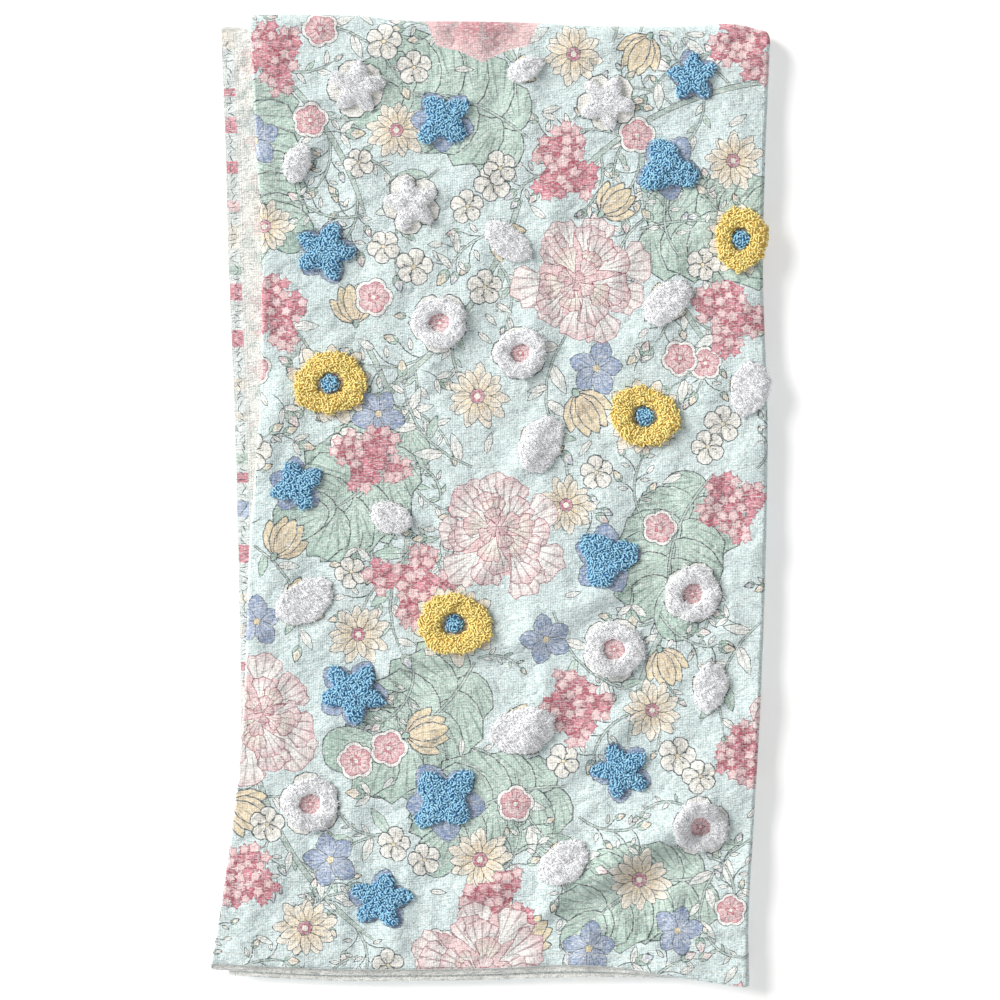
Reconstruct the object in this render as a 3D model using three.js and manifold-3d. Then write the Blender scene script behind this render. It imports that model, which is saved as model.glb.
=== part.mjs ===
// Textured throw: printed slub cotton with tufted flowers, folded up and laid flat.
// The sheet is folded in thirds across its width (an inner flap, the top panel, an under panel whose
// hem sticks out on the left) and then in half along its length, so six layers lie on each other.
// Millimetres. X runs across the folded throw, Y from its hems up to its half fold, Z is up.
import * as THREE from "three";
import { mergeVertices } from "three/addons/utils/BufferGeometryUtils.js";
import Module from "manifold-3d";

const wasm = await Module();
wasm.setup();

// ---- Driving dimensions ---------------------------------------------------------------------

const CLOTH_THICK = 1.5;
const LAYER_GAP = 1.5; // between the three layers of one half
const HALF_GAP = 2; // between the two halves
const PANEL_WIDTH = 410; // about a third of the flat width of 1220
const HALF_LENGTH = 745; // a straight leg of the flat length of 1524
const HEM_WIDTH = 10;
const HEM_SWELL = 1.25; // the turned hem over the single cloth
const FLAP_REACH = 0.95; // how far the inner flap reaches towards the right fold
const INNER_LAG = 4; // how much lower the under panel lies inside the half fold
const LOWER_TUCK = { left: 4, right: 1.5, bottom: 7 }; // the lower half stays inside the upper one

const PILE_HEIGHT = 6;
const PILE_ROOT = 1; // how deep a tuft starts below the cloth's face, before it is seated
const SEAT_GAP = 0.3; // between the cloth and a seated tuft
const RING_HOLE = 0.36; // a ring's hole over its outer size
const CENTRE_SIZE = 14;
const CENTRE_HEIGHT = 4.5;

const LAYER_STEP = CLOTH_THICK + LAYER_GAP;
const HALF_THICK = LAYER_STEP + CLOTH_THICK / 2; // half the thickness of three layers
const HALF_STEP = 2 * HALF_THICK + HALF_GAP;
const LOWER_LEVEL = HALF_THICK;
const UPPER_LEVEL = LOWER_LEVEL + HALF_STEP;
const STACK_HEIGHT = UPPER_LEVEL + HALF_THICK;

// Side edges at sections from the hems (up 0) to the half fold (up 1).
const SIDES = [
  { up: 0, leftFold: -221, underHem: -207, rightFold: 205 },
  { up: 0.07, leftFold: -212, underHem: -202, rightFold: 204.5 },
  { up: 0.18, leftFold: -201, underHem: -198, rightFold: 209 },
  { up: 0.3, leftFold: -194, underHem: -197.5, rightFold: 214 },
  { up: 0.45, leftFold: -190, underHem: -199.5, rightFold: 218 },
  { up: 0.6, leftFold: -182, underHem: -202.5, rightFold: 219.5 },
  { up: 0.75, leftFold: -180.5, underHem: -207, rightFold: 216 },
  { up: 0.87, leftFold: -185, underHem: -209.5, rightFold: 217.5 },
  { up: 1, leftFold: -190, underHem: -213, rightFold: 221.5 },
];

// Ends at sections from the left (over 0) to the right (over 1).
const ENDS = [
  { over: 0, topHem: -366, underHem: -376, halfFold: 384.5 },
  { over: 0.2, topHem: -370, underHem: -380, halfFold: 384 },
  { over: 0.28, topHem: -370.5, underHem: -380.5, halfFold: 380 },
  { over: 0.5, topHem: -370, underHem: -379.5, halfFold: 378.5 },
  { over: 0.66, topHem: -367, underHem: -377.5, halfFold: 375.5 },
  { over: 0.76, topHem: -369, underHem: -377.5, halfFold: 375 },
  { over: 0.86, topHem: -375.5, underHem: -378, halfFold: 375.5 },
  { over: 0.94, topHem: -381, underHem: -380, halfFold: 377 },
  { over: 1, topHem: -384.5, underHem: -381.5, halfFold: 371.5 },
];

// Main soft ridges (rise above 0) and troughs of the top: centre, direction in degrees, half length,
// half width and height.
const CREASES = [
  { x: 96, y: -272, turn: 32, long: 80, wide: 24, rise: 3.4 },
  { x: 134, y: -312, turn: 34, long: 70, wide: 18, rise: -1.6 },
  { x: 68, y: -352, turn: 90, long: 30, wide: 22, rise: 2.2 },
  { x: 158, y: -362, turn: 70, long: 34, wide: 20, rise: 1.6 },
  { x: -103, y: 308, turn: 6, long: 70, wide: 20, rise: -1.5 },
  { x: -60, y: 180, turn: -52, long: 90, wide: 30, rise: 1.6 },
  { x: 60, y: -40, turn: 58, long: 100, wide: 30, rise: 1.8 },
  { x: -120, y: -120, turn: 20, long: 90, wide: 34, rise: 1.2 },
];

// Tufted flowers: outline, yarn, place of the middle, direction in degrees, length and breadth.
const TUFTS = [
  { form: "star", yarn: "white", x: -105, y: 326, turn: 12, long: 46, broad: 46, arms: 5 },
  { form: "star", yarn: "blue", x: -36, y: 300, turn: 40, long: 50, broad: 44, arms: 4 },
  { form: "oval", yarn: "white", x: 28, y: 340, turn: 24, long: 32, broad: 19 },
  { form: "star", yarn: "white", x: 92, y: 314, turn: -8, long: 46, broad: 46, arms: 5 },
  { form: "star", yarn: "blue", x: 160, y: 334, turn: 20, long: 42, broad: 38, arms: 5 },
  { form: "star", yarn: "blue", x: 140, y: 262, turn: -20, long: 52, broad: 46, arms: 3 },
  { form: "oval", yarn: "white", x: -152, y: 266, turn: 70, long: 34, broad: 22 },
  { form: "ring", yarn: "yellow", x: 198, y: 206, turn: 84, long: 52, broad: 42, centre: "blue" },
  { form: "star", yarn: "white", x: -62, y: 234, turn: 30, long: 46, broad: 46, arms: 5 },
  { form: "star", yarn: "blue", x: -130, y: 196, turn: 0, long: 50, broad: 46, arms: 5 },
  { form: "oval", yarn: "white", x: 14, y: 204, turn: -38, long: 46, broad: 26 },
  { form: "ring", yarn: "white", x: -40, y: 140, turn: 0, long: 46, broad: 42 },
  { form: "ring", yarn: "white", x: 24, y: 116, turn: 30, long: 44, broad: 40 },
  { form: "oval", yarn: "white", x: 140, y: 156, turn: 42, long: 46, broad: 30 },
  { form: "ring", yarn: "yellow", x: -126, y: 92, turn: 8, long: 60, broad: 50, centre: "blue" },
  { form: "ring", yarn: "yellow", x: 122, y: 66, turn: -16, long: 58, broad: 48, centre: "blue" },
  { form: "oval", yarn: "white", x: 205, y: 88, turn: 76, long: 46, broad: 32 },
  { form: "oval", yarn: "white", x: 40, y: 44, turn: 64, long: 50, broad: 34 },
  { form: "star", yarn: "blue", x: -152, y: 12, turn: 24, long: 44, broad: 40, arms: 4 },
  { form: "oval", yarn: "white", x: -78, y: -14, turn: -20, long: 36, broad: 26 },
  { form: "star", yarn: "blue", x: 92, y: -46, turn: 10, long: 54, broad: 48, arms: 3 },
  { form: "ring", yarn: "white", x: 160, y: -74, turn: 50, long: 48, broad: 44 },
  { form: "ring", yarn: "white", x: 98, y: -118, turn: -10, long: 50, broad: 46 },
  { form: "ring", yarn: "yellow", x: -28, y: -98, turn: -6, long: 60, broad: 50, centre: "blue" },
  { form: "oval", yarn: "white", x: -146, y: -80, turn: 32, long: 52, broad: 34 },
  { form: "oval", yarn: "white", x: 174, y: -148, turn: 78, long: 42, broad: 28 },
  { form: "star", yarn: "blue", x: -108, y: -152, turn: -16, long: 56, broad: 48, arms: 5 },
  { form: "oval", yarn: "white", x: 26, y: -182, turn: 14, long: 56, broad: 38 },
  { form: "star", yarn: "blue", x: -36, y: -236, turn: 44, long: 62, broad: 52, arms: 4 },
  { form: "ring", yarn: "white", x: -142, y: -240, turn: 20, long: 48, broad: 44 },
  { form: "star", yarn: "blue", x: 104, y: -214, turn: -34, long: 48, broad: 44, arms: 5 },
  { form: "ring", yarn: "white", x: 166, y: -258, turn: 0, long: 46, broad: 42 },
  { form: "oval", yarn: "white", x: 58, y: -286, turn: 36, long: 46, broad: 32 },
  { form: "star", yarn: "blue", x: -86, y: -316, turn: 8, long: 50, broad: 46, arms: 5 },
];

const FINISH = {
  cloth: { color: 0xd3e0df, roughness: 0.92, metalness: 0 },
  white: { color: 0xf1eef2, roughness: 0.95, metalness: 0 },
  blue: { color: 0x5b9bcb, roughness: 0.95, metalness: 0 },
  yellow: { color: 0xf2cc55, roughness: 0.95, metalness: 0 },
};

// ---- Tables and blends ----------------------------------------------------------------------

const mix = THREE.MathUtils.lerp;

/** A column of a table at a key between its rows, on a smooth curve through them. */
function smoothAt(table, key, column, at) {
  const row = table.findLastIndex((entry) => entry[key] <= at);
  const start = THREE.MathUtils.clamp(row, 0, table.length - 2);
  const near = table[start];
  const next = table[start + 1];
  const span = next[key] - near[key];
  const slope = (index) => {
    const before = table[Math.max(index - 1, 0)];
    const after = table[Math.min(index + 1, table.length - 1)];
    return ((after[column] - before[column]) / (after[key] - before[key])) * span;
  };
  const t = THREE.MathUtils.clamp((at - near[key]) / span, 0, 1);
  const rise = t * t * (3 - 2 * t);
  const bend = slope(start) * t * (1 - t) * (1 - t) - slope(start + 1) * t * t * (1 - t);
  return mix(near[column], next[column], rise) + bend;
}

const sideAt = (column, up) => smoothAt(SIDES, "up", column, up);
const endAt = (column, over) => smoothAt(ENDS, "over", column, over);

/** Height of the top's soft ridges and troughs at a place. */
function creaseHeight(x, y) {
  let height = 0;
  for (const crease of CREASES) {
    const turn = THREE.MathUtils.degToRad(crease.turn);
    const along = ((x - crease.x) * Math.cos(turn) + (y - crease.y) * Math.sin(turn)) / crease.long;
    const aside = ((y - crease.y) * Math.cos(turn) - (x - crease.x) * Math.sin(turn)) / crease.wide;
    height += crease.rise * Math.exp(-along * along - aside * aside);
  }
  return height;
}

/** A point of the neat stack, raised by the creases in step with its height above the surface. */
function settled(x, y, z) {
  return new THREE.Vector3(x, y, z * (1 + creaseHeight(x, y) / STACK_HEIGHT));
}

// ---- The folded cloth -----------------------------------------------------------------------

/** Stations along a straight leg, from one share of it to another, both ends included. */
function legStations(name, from, to, steps, extra = []) {
  const shares = Array.from({ length: steps + 1 }, (_, step) => mix(from, to, step / steps));
  const sorted = [...shares, ...extra].sort((a, b) => (a - b) * Math.sign(to - from));
  return sorted.map((share) => ({ leg: name, share }));
}

/** Stations inside a half turn, its ends left to the legs on both sides. */
function turnStations(name, steps) {
  const part = Math.PI / steps;
  return Array.from({ length: steps - 1 }, (_, step) => ({ turn: name, angle: (step + 1) * part }));
}

const HEM_ACROSS = HEM_WIDTH / PANEL_WIDTH;
const HEM_ALONG = HEM_WIDTH / HALF_LENGTH;

const ACROSS = [
  ...legStations("flap", FLAP_REACH, 0, 5, [FLAP_REACH - HEM_ACROSS]),
  ...turnStations("left", 4),
  ...legStations("top", 0, 1, 14),
  ...turnStations("right", 5),
  ...legStations("under", 1, 0, 6, [HEM_ACROSS]),
];
const ALONG = [
  ...legStations("upper", 0, 1, 17, [HEM_ALONG]),
  ...turnStations("half", 4),
  ...legStations("lower", 1, 0, 7, [HEM_ALONG]),
];

/** How far a station along the length has gone into the lower half. */
function tuckAt(along) {
  if (along.turn) return (1 - Math.cos(along.angle)) / 2;
  return along.leg === "lower" ? 1 : 0;
}

/** Fold in thirds: x, height in the three layers and depth (top 0, under panel 1). */
function foldInThirds(across, along, rise) {
  const up = along.turn ? 1 : along.share;
  const tuck = tuckAt(along);
  const leftAxis = sideAt("leftFold", up) + (LAYER_STEP + CLOTH_THICK) / 2 + LOWER_TUCK.left * tuck;
  const rightAxis = sideAt("rightFold", up) - HALF_THICK - LOWER_TUCK.right * tuck;
  if (across.turn === "left") {
    const radius = LAYER_STEP / 2 + rise;
    const x = leftAxis - radius * Math.sin(across.angle);
    const height = LAYER_STEP / 2 - radius * Math.cos(across.angle);
    return { x, height, over: 0, depth: (1 + Math.cos(across.angle)) / 4 };
  }
  if (across.turn === "right") {
    const radius = LAYER_STEP + rise;
    const x = rightAxis + radius * Math.sin(across.angle);
    return { x, height: radius * Math.cos(across.angle), over: 1, depth: (1 - Math.cos(across.angle)) / 2 };
  }
  const underHem = sideAt("underHem", up) + LOWER_TUCK.left * tuck;
  const { start, height, depth } = {
    flap: { start: leftAxis, height: -rise, depth: 0.5 },
    top: { start: leftAxis, height: LAYER_STEP + rise, depth: 0 },
    under: { start: underHem, height: -LAYER_STEP - rise, depth: 1 },
  }[across.leg];
  return { x: mix(start, rightAxis, across.share), height, over: across.share, depth };
}

/** Fold in half along the length: y and z of a point of the three layers. */
function foldInHalf(along, { height, over, depth }) {
  const axis = endAt("halfFold", over) - HALF_STEP / 2 - HALF_THICK - INNER_LAG * depth;
  if (along.turn) {
    const radius = HALF_STEP / 2 + height;
    const middle = (UPPER_LEVEL + LOWER_LEVEL) / 2;
    return { y: axis + radius * Math.sin(along.angle), z: middle + radius * Math.cos(along.angle) };
  }
  const hem = mix(endAt("topHem", over), endAt("underHem", over), depth);
  if (along.leg === "upper") return { y: mix(hem, axis, along.share), z: UPPER_LEVEL + height };
  return { y: mix(hem + LOWER_TUCK.bottom, axis, along.share), z: LOWER_LEVEL - height };
}

/** The whole folded sheet as one closed solid, its printed face moved out by some swell. */
function foldedSheet(swell) {
  const geometry = new THREE.BoxGeometry(1, 1, 1, ACROSS.length - 1, ALONG.length - 1, 1);
  const position = geometry.attributes.position;
  for (let index = 0; index < position.count; index += 1) {
    const column = Math.round((position.getX(index) + 0.5) * (ACROSS.length - 1));
    const row = Math.round((position.getY(index) + 0.5) * (ALONG.length - 1));
    const atEdge = column % (ACROSS.length - 1) === 0 || row % (ALONG.length - 1) === 0;
    const half = (CLOTH_THICK / 2) * (atEdge ? HEM_SWELL : 1);
    const rise = position.getZ(index) > 0 ? half + swell : -half;
    const layered = foldInThirds(ACROSS[column], ALONG[row], rise);
    const { y, z } = foldInHalf(ALONG[row], layered);
    const point = settled(layered.x, y, z);
    position.setXYZ(index, point.x, point.y, point.z);
  }
  return closed(geometry);
}

// ---- Tufts ----------------------------------------------------------------------------------

/** Only positions, with shared vertices merged, as a solid's mesh needs. */
function closed(geometry) {
  geometry.deleteAttribute("normal");
  geometry.deleteAttribute("uv");
  return mergeVertices(geometry, 1e-4);
}

/** Height of the cloth's own facets at a place on the top panel. */
function topFacet(sheet, x, y) {
  const down = new THREE.Raycaster(new THREE.Vector3(x, y, 2 * STACK_HEIGHT), new THREE.Vector3(0, 0, -1));
  return down.intersectObject(sheet)[0].point.z;
}

/** A point at some lift above the top panel, which follows the right fold past its axis. */
function aboveTop(sheet, x, y, lift) {
  const up = THREE.MathUtils.inverseLerp(ENDS[0].topHem, ENDS[0].halfFold, y);
  const axis = sideAt("rightFold", up) - HALF_THICK;
  if (x <= axis) return new THREE.Vector3(x, y, topFacet(sheet, x, y) + lift);
  const angle = (x - axis) / HALF_THICK;
  const radius = HALF_THICK + lift;
  return settled(axis + radius * Math.sin(angle), y, UPPER_LEVEL + radius * Math.cos(angle));
}

/** A lathed profile of { out, lift } points, out being a share of the tuft's outline. */
function turnedProfile(profile, steps) {
  return new THREE.LatheGeometry(profile.map(({ out, lift }) => new THREE.Vector2(out, lift)), steps);
}

function domeGeometry(height, steps) {
  return turnedProfile([
    { out: 0, lift: -PILE_ROOT },
    { out: 0.96, lift: -PILE_ROOT },
    { out: 1, lift: 0.5 * height },
    { out: 0.66, lift: 0.92 * height },
    { out: 0, lift: height },
  ], steps);
}

function ringGeometry(height, steps) {
  const crown = (1 + RING_HOLE) / 2;
  return turnedProfile([
    { out: RING_HOLE, lift: -PILE_ROOT },
    { out: 0.96, lift: -PILE_ROOT },
    { out: 1, lift: 0.5 * height },
    { out: crown, lift: height },
    { out: RING_HOLE, lift: 0.5 * height },
    { out: RING_HOLE, lift: -PILE_ROOT },
  ], steps);
}

/** Share of the full reach that a star's outline has at an angle: rounded arms, soft notches. */
function starReach(arms, angle) {
  return 0.73 + 0.27 * Math.cos(arms * angle);
}

const OUTLINES = {
  star: {
    shape: (tuft) => domeGeometry(PILE_HEIGHT, 4 * tuft.arms),
    reach: (tuft, angle) => starReach(tuft.arms, angle),
  },
  oval: { shape: () => domeGeometry(PILE_HEIGHT, 12), reach: () => 1 },
  ring: { shape: () => ringGeometry(PILE_HEIGHT, 14), reach: () => 1 },
  centre: { shape: () => domeGeometry(CENTRE_HEIGHT, 8), reach: () => 1 },
};

/** A tuft laid over the top panel with its root in the cloth. */
function tuftGeometry(sheet, tuft) {
  const outline = OUTLINES[tuft.form];
  const geometry = outline.shape(tuft);
  const position = geometry.attributes.position;
  const turn = THREE.MathUtils.degToRad(tuft.turn);
  for (let index = 0; index < position.count; index += 1) {
    const out = Math.hypot(position.getX(index), position.getZ(index));
    const angle = Math.atan2(-position.getZ(index), position.getX(index));
    const reach = (out * outline.reach(tuft, angle)) / 2;
    const along = reach * tuft.long * Math.cos(angle);
    const aside = reach * tuft.broad * Math.sin(angle);
    const x = tuft.x + along * Math.cos(turn) - aside * Math.sin(turn);
    const y = tuft.y + along * Math.sin(turn) + aside * Math.cos(turn);
    const point = aboveTop(sheet, x, y, position.getY(index));
    position.setXYZ(index, point.x, point.y, point.z);
  }
  return closed(geometry);
}

function toSolid(geometry) {
  const vertProperties = new Float32Array(geometry.attributes.position.array);
  const triVerts = new Uint32Array(geometry.index.array);
  return new wasm.Manifold(new wasm.Mesh({ numProp: 3, vertProperties, triVerts }));
}

function toGeometry(solid) {
  const mesh = solid.getMesh();
  const geometry = new THREE.BufferGeometry();
  geometry.setAttribute("position", new THREE.BufferAttribute(new Float32Array(mesh.vertProperties), 3));
  geometry.setIndex(new THREE.BufferAttribute(new Uint32Array(mesh.triVerts), 1));
  return geometry;
}

// ---- The throw ------------------------------------------------------------------------------

const folded = new THREE.Group();

function addPiece(name, geometry, finish) {
  const mesh = new THREE.Mesh(geometry, new THREE.MeshStandardMaterial(FINISH[finish]));
  mesh.name = name;
  folded.add(mesh);
  return mesh;
}

const sheet = addPiece("throw_cloth", foldedSheet(0), "cloth");

const seat = toSolid(foldedSheet(SEAT_GAP));
const counts = {};

/** The outer part of a tuft that is left once the cloth under it is cut away. */
function seated(tuft) {
  const parts = toSolid(tuftGeometry(sheet, tuft)).subtract(seat).decompose();
  return parts.reduce((largest, part) => (part.volume() > largest.volume() ? part : largest));
}

/** A tuft that sits just above the cloth's own facets, named by its yarn, form and number. */
function addTuft(tuft) {
  const kind = `tuft_${tuft.yarn}_${tuft.form}`;
  counts[kind] = (counts[kind] ?? 0) + 1;
  addPiece(`${kind}_${counts[kind]}`, toGeometry(seated(tuft)), tuft.yarn);
}

const centreForm = { form: "centre", long: CENTRE_SIZE, broad: CENTRE_SIZE };

for (const tuft of TUFTS) {
  addTuft(tuft);
  if (tuft.centre) addTuft({ ...tuft, ...centreForm, yarn: tuft.centre });
}

const box = new THREE.Box3().setFromObject(folded, true);
const middle = box.getCenter(new THREE.Vector3());
folded.position.set(-middle.x, -middle.y, -box.min.z);

export default folded;
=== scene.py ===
"""A folded textured throw: a printed slub-cotton sheet with tufted flowers, laid flat in six layers.

Lengths in the tables and in the shape functions are millimetres on the folded throw: x runs across it,
y from its hems up to its half fold, z up. A place on the spread-out sheet is a complex number that has
the same x and y on the top panel and runs on round the folds. Meshes are made in metres.
"""

import functools
import math
from collections import namedtuple

import bmesh
import bpy
import numpy as np
from bpy.props import FloatProperty, FloatVectorProperty, PointerProperty
from mathutils import Matrix, Vector
from mathutils.geometry import delaunay_2d_cdt


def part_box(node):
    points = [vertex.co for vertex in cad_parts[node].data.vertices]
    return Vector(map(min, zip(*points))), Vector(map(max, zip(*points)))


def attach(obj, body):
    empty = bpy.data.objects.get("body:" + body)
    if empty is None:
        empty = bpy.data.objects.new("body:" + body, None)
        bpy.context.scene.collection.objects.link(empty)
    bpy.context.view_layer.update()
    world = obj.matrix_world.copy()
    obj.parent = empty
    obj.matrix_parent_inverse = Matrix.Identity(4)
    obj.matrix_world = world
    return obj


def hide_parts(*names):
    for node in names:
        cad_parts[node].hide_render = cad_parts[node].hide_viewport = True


bl_info = {
    "name": "Textured throw",
    "version": (1, 0, 0),
    "blender": (4, 5, 0),
    "location": "3D View > Sidebar > Throw",
    "description": "A folded cotton throw with a flower print and tufted flowers",
    "category": "Object",
}

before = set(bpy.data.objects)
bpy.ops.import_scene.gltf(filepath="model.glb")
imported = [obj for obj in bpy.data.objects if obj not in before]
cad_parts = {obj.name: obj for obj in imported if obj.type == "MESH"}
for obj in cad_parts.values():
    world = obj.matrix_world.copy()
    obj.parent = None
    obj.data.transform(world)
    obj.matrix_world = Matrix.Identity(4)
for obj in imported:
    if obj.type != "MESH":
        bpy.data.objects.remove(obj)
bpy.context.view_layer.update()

MM = 0.001
TAU = 2 * math.pi

# ---- Sizes of the folded sheet, millimetres --------------------------------------------------

CLOTH_THICK = 1.5
LAYER_GAP = 1.5
HALF_GAP = 2
HEM_WIDTH = 10
HEM_SWELL = 1.25
FLAP_REACH = 0.95
INNER_LAG = 4
LOWER_TUCK = {"left": 4, "right": 1.5, "bottom": 7}
LAYER_STEP = CLOTH_THICK + LAYER_GAP
HALF_THICK = LAYER_STEP + CLOTH_THICK / 2
HALF_STEP = 2 * HALF_THICK + HALF_GAP
LOWER_LEVEL = HALF_THICK
UPPER_LEVEL = LOWER_LEVEL + HALF_STEP
STACK_HEIGHT = UPPER_LEVEL + HALF_THICK
MIDDLE_LEVEL = (UPPER_LEVEL + LOWER_LEVEL) / 2

# Lengths of the printed face round the three folds.
LEFT_ARC = math.pi * (LAYER_STEP + CLOTH_THICK) / 2
RIGHT_ARC = math.pi * HALF_THICK
HALF_ARC = math.pi * (HALF_STEP / 2 + HALF_THICK)

# About where the top panel starts, and its width and length.
PANEL_START = (-200, -370)
PANEL_SIZE = (410, 745)

Side = namedtuple("Side", "up left_fold under_hem right_fold")
End = namedtuple("End", "over top_hem under_hem half_fold")
Crease = namedtuple("Crease", "x y turn long wide rise")

# Side edges at sections from the hems (up 0) to the half fold (up 1).
SIDES = [
    Side(0, -221, -207, 205),
    Side(0.07, -212, -202, 204.5),
    Side(0.18, -201, -198, 209),
    Side(0.3, -194, -197.5, 214),
    Side(0.45, -190, -199.5, 218),
    Side(0.6, -182, -202.5, 219.5),
    Side(0.75, -180.5, -207, 216),
    Side(0.87, -185, -209.5, 217.5),
    Side(1, -190, -213, 221.5),
]

# Ends at sections from the left (over 0) to the right (over 1).
ENDS = [
    End(0, -366, -376, 384.5),
    End(0.2, -370, -380, 384),
    End(0.28, -370.5, -380.5, 380),
    End(0.5, -370, -379.5, 378.5),
    End(0.66, -367, -377.5, 375.5),
    End(0.76, -369, -377.5, 375),
    End(0.86, -375.5, -378, 375.5),
    End(0.94, -381, -380, 377),
    End(1, -384.5, -381.5, 371.5),
]

# Soft ridges (rise above 0) and troughs of the whole stack: centre, direction, half length, half width.
CREASES = [
    Crease(96, -272, 32, 80, 24, 3.4),
    Crease(134, -312, 34, 70, 18, -1.6),
    Crease(68, -352, 90, 30, 22, 2.2),
    Crease(158, -362, 70, 34, 20, 1.6),
    Crease(-103, 308, 6, 70, 20, -1.5),
    Crease(-60, 180, -52, 90, 30, 1.6),
    Crease(60, -40, 58, 100, 30, 1.8),
    Crease(-120, -120, 20, 90, 34, 1.2),
]

# Smaller wrinkles that only the top panel has, placed in the same way.
WRINKLES = [
    Crease(104, -348, -33, 32, 5, -1.8),
    Crease(111, -339, -33, 32, 7, 2.2),
    Crease(190, -346, 4, 26, 4, -1.3),
    Crease(188, -339, 6, 28, 4.5, 1.2),
    Crease(96, -288, 29, 84, 13, 3.5),
    Crease(107, -308, 29, 84, 10, -3.2),
    Crease(140, -262, 48, 36, 9, 1.2),
    Crease(180, -290, 62, 44, 11, -1.1),
    Crease(-20, -116, 8, 50, 11, 1.9),
    Crease(-18, -134, 8, 50, 8, -1.6),
    Crease(70, -84, 32, 52, 11, 1.8),
    Crease(80, -102, 32, 52, 8, -1.6),
    Crease(84, -190, 40, 70, 12, 1.5),
    Crease(94, -208, 40, 70, 9, -1.2),
    Crease(40, -150, 76, 44, 8, 1.2),
    Crease(4, -304, 12, 40, 11, 1.8),
    Crease(8, -323, 12, 40, 8, -1.4),
    Crease(30, -338, 74, 26, 8, -1.0),
    Crease(-20, -346, 100, 20, 8, 0.9),
    Crease(-70, -350, 84, 18, 9, 0.8),
    Crease(-110, 310, 4, 46, 6, -1.1),
    Crease(-104, 318, 5, 44, 7, 0.9),
    Crease(-48, 320, 80, 18, 6, -1.0),
    Crease(-160, 190, -8, 32, 5, 0.9),
    Crease(-158, 178, -4, 34, 5, -0.9),
    Crease(-150, 214, 10, 26, 6, 0.8),
    Crease(22, 30, 56, 40, 7, 1.0),
    Crease(34, 18, 60, 44, 8, -1.0),
    Crease(60, -8, 48, 30, 6, 0.8),
    Crease(8, -30, 66, 34, 8, 0.7),
    Crease(120, 110, 20, 44, 10, -0.8),
    Crease(150, 20, -30, 40, 9, 0.8),
    Crease(40, 250, 12, 50, 10, -0.7),
    Crease(110, 356, 4, 60, 8, 0.8),
    Crease(196, 362, 6, 16, 3, -1.0),
    Crease(-170, 60, 82, 60, 7, 0.7),
    Crease(-178, -60, 84, 50, 8, 0.8),
    Crease(-120, -210, 30, 50, 12, -0.8),
    Crease(-20, -180, -24, 46, 10, 0.8),
    Crease(196, -200, 84, 50, 7, 0.7),
]

# ---- Tufted flowers --------------------------------------------------------------------------

SEAT_GAP = 0.3
RING_HOLE = 0.36
CENTRE_SIZE = 14

# Outline, yarn, place of the middle, direction in degrees, length, breadth and a star's arms.
Tuft = namedtuple("Tuft", "form yarn x y turn long broad arms", defaults=[4])
TUFTS = [
    Tuft("star", "white", -105, 326, 12, 46, 46, 5),
    Tuft("star", "blue", -36, 300, 40, 50, 44, 4),
    Tuft("oval", "white", 28, 340, 24, 32, 19),
    Tuft("star", "white", 92, 314, -8, 46, 46, 5),
    Tuft("star", "blue", 160, 334, 20, 42, 38, 5),
    Tuft("star", "blue", 140, 262, -20, 52, 46, 3),
    Tuft("oval", "white", -152, 266, 70, 34, 22),
    Tuft("ring", "yellow", 198, 206, 84, 52, 42),
    Tuft("star", "white", -62, 234, 30, 46, 46, 5),
    Tuft("star", "blue", -130, 196, 0, 50, 46, 5),
    Tuft("oval", "white", 14, 204, -38, 46, 26),
    Tuft("ring", "white", -40, 140, 0, 46, 42),
    Tuft("ring", "white", 24, 116, 30, 44, 40),
    Tuft("oval", "white", 140, 156, 42, 46, 30),
    Tuft("ring", "yellow", -126, 92, 8, 60, 50),
    Tuft("ring", "yellow", 122, 66, -16, 58, 48),
    Tuft("oval", "white", 205, 88, 76, 46, 32),
    Tuft("oval", "white", 40, 44, 64, 50, 34),
    Tuft("star", "blue", -152, 12, 24, 44, 40, 4),
    Tuft("oval", "white", -78, -14, -20, 36, 26),
    Tuft("star", "blue", 92, -46, 10, 54, 48, 3),
    Tuft("ring", "white", 160, -74, 50, 48, 44),
    Tuft("ring", "white", 98, -118, -10, 50, 46),
    Tuft("ring", "yellow", -28, -98, -6, 60, 50),
    Tuft("oval", "white", -146, -80, 32, 52, 34),
    Tuft("oval", "white", 174, -148, 78, 42, 28),
    Tuft("star", "blue", -108, -152, -16, 56, 48, 5),
    Tuft("oval", "white", 26, -182, 14, 56, 38),
    Tuft("star", "blue", -36, -236, 44, 62, 52, 4),
    Tuft("ring", "white", -142, -240, 20, 48, 44),
    Tuft("star", "blue", 104, -214, -34, 48, 44, 5),
    Tuft("ring", "white", 166, -258, 0, 46, 42),
    Tuft("oval", "white", 58, -286, 36, 46, 32),
    Tuft("star", "blue", -86, -316, 8, 50, 46, 5),
]

# ---- Folding ---------------------------------------------------------------------------------


def mix(start, end, share):
    return start + (end - start) * share


def heading(degrees):
    """The direction at an angle, as a complex number of length 1."""
    return np.exp(1j * math.radians(degrees))


def between(value, start, end):
    """How far a value has gone from start to end, from 0 to 1."""
    return np.clip((value - start) / (end - start), 0, 1)


def smooth_at(table, column, at):
    """A column of a table at places along its first column, on a smooth curve through its rows."""
    keys = np.array([row[0] for row in table])
    values = np.array([getattr(row, column) for row in table], float)
    before = np.maximum(np.arange(len(table)) - 1, 0)
    after = np.minimum(np.arange(len(table)) + 1, len(table) - 1)
    slopes = (values[after] - values[before]) / (keys[after] - keys[before])
    row = np.clip(np.searchsorted(keys, at, side="right") - 1, 0, len(table) - 2)
    span = keys[row + 1] - keys[row]
    t = np.clip((at - keys[row]) / span, 0, 1)
    rise = t * t * (3 - 2 * t)
    bend = span * (slopes[row] * t * (1 - t) ** 2 - slopes[row + 1] * t * t * (1 - t))
    return mix(values[row], values[row + 1], rise) + bend


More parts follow.
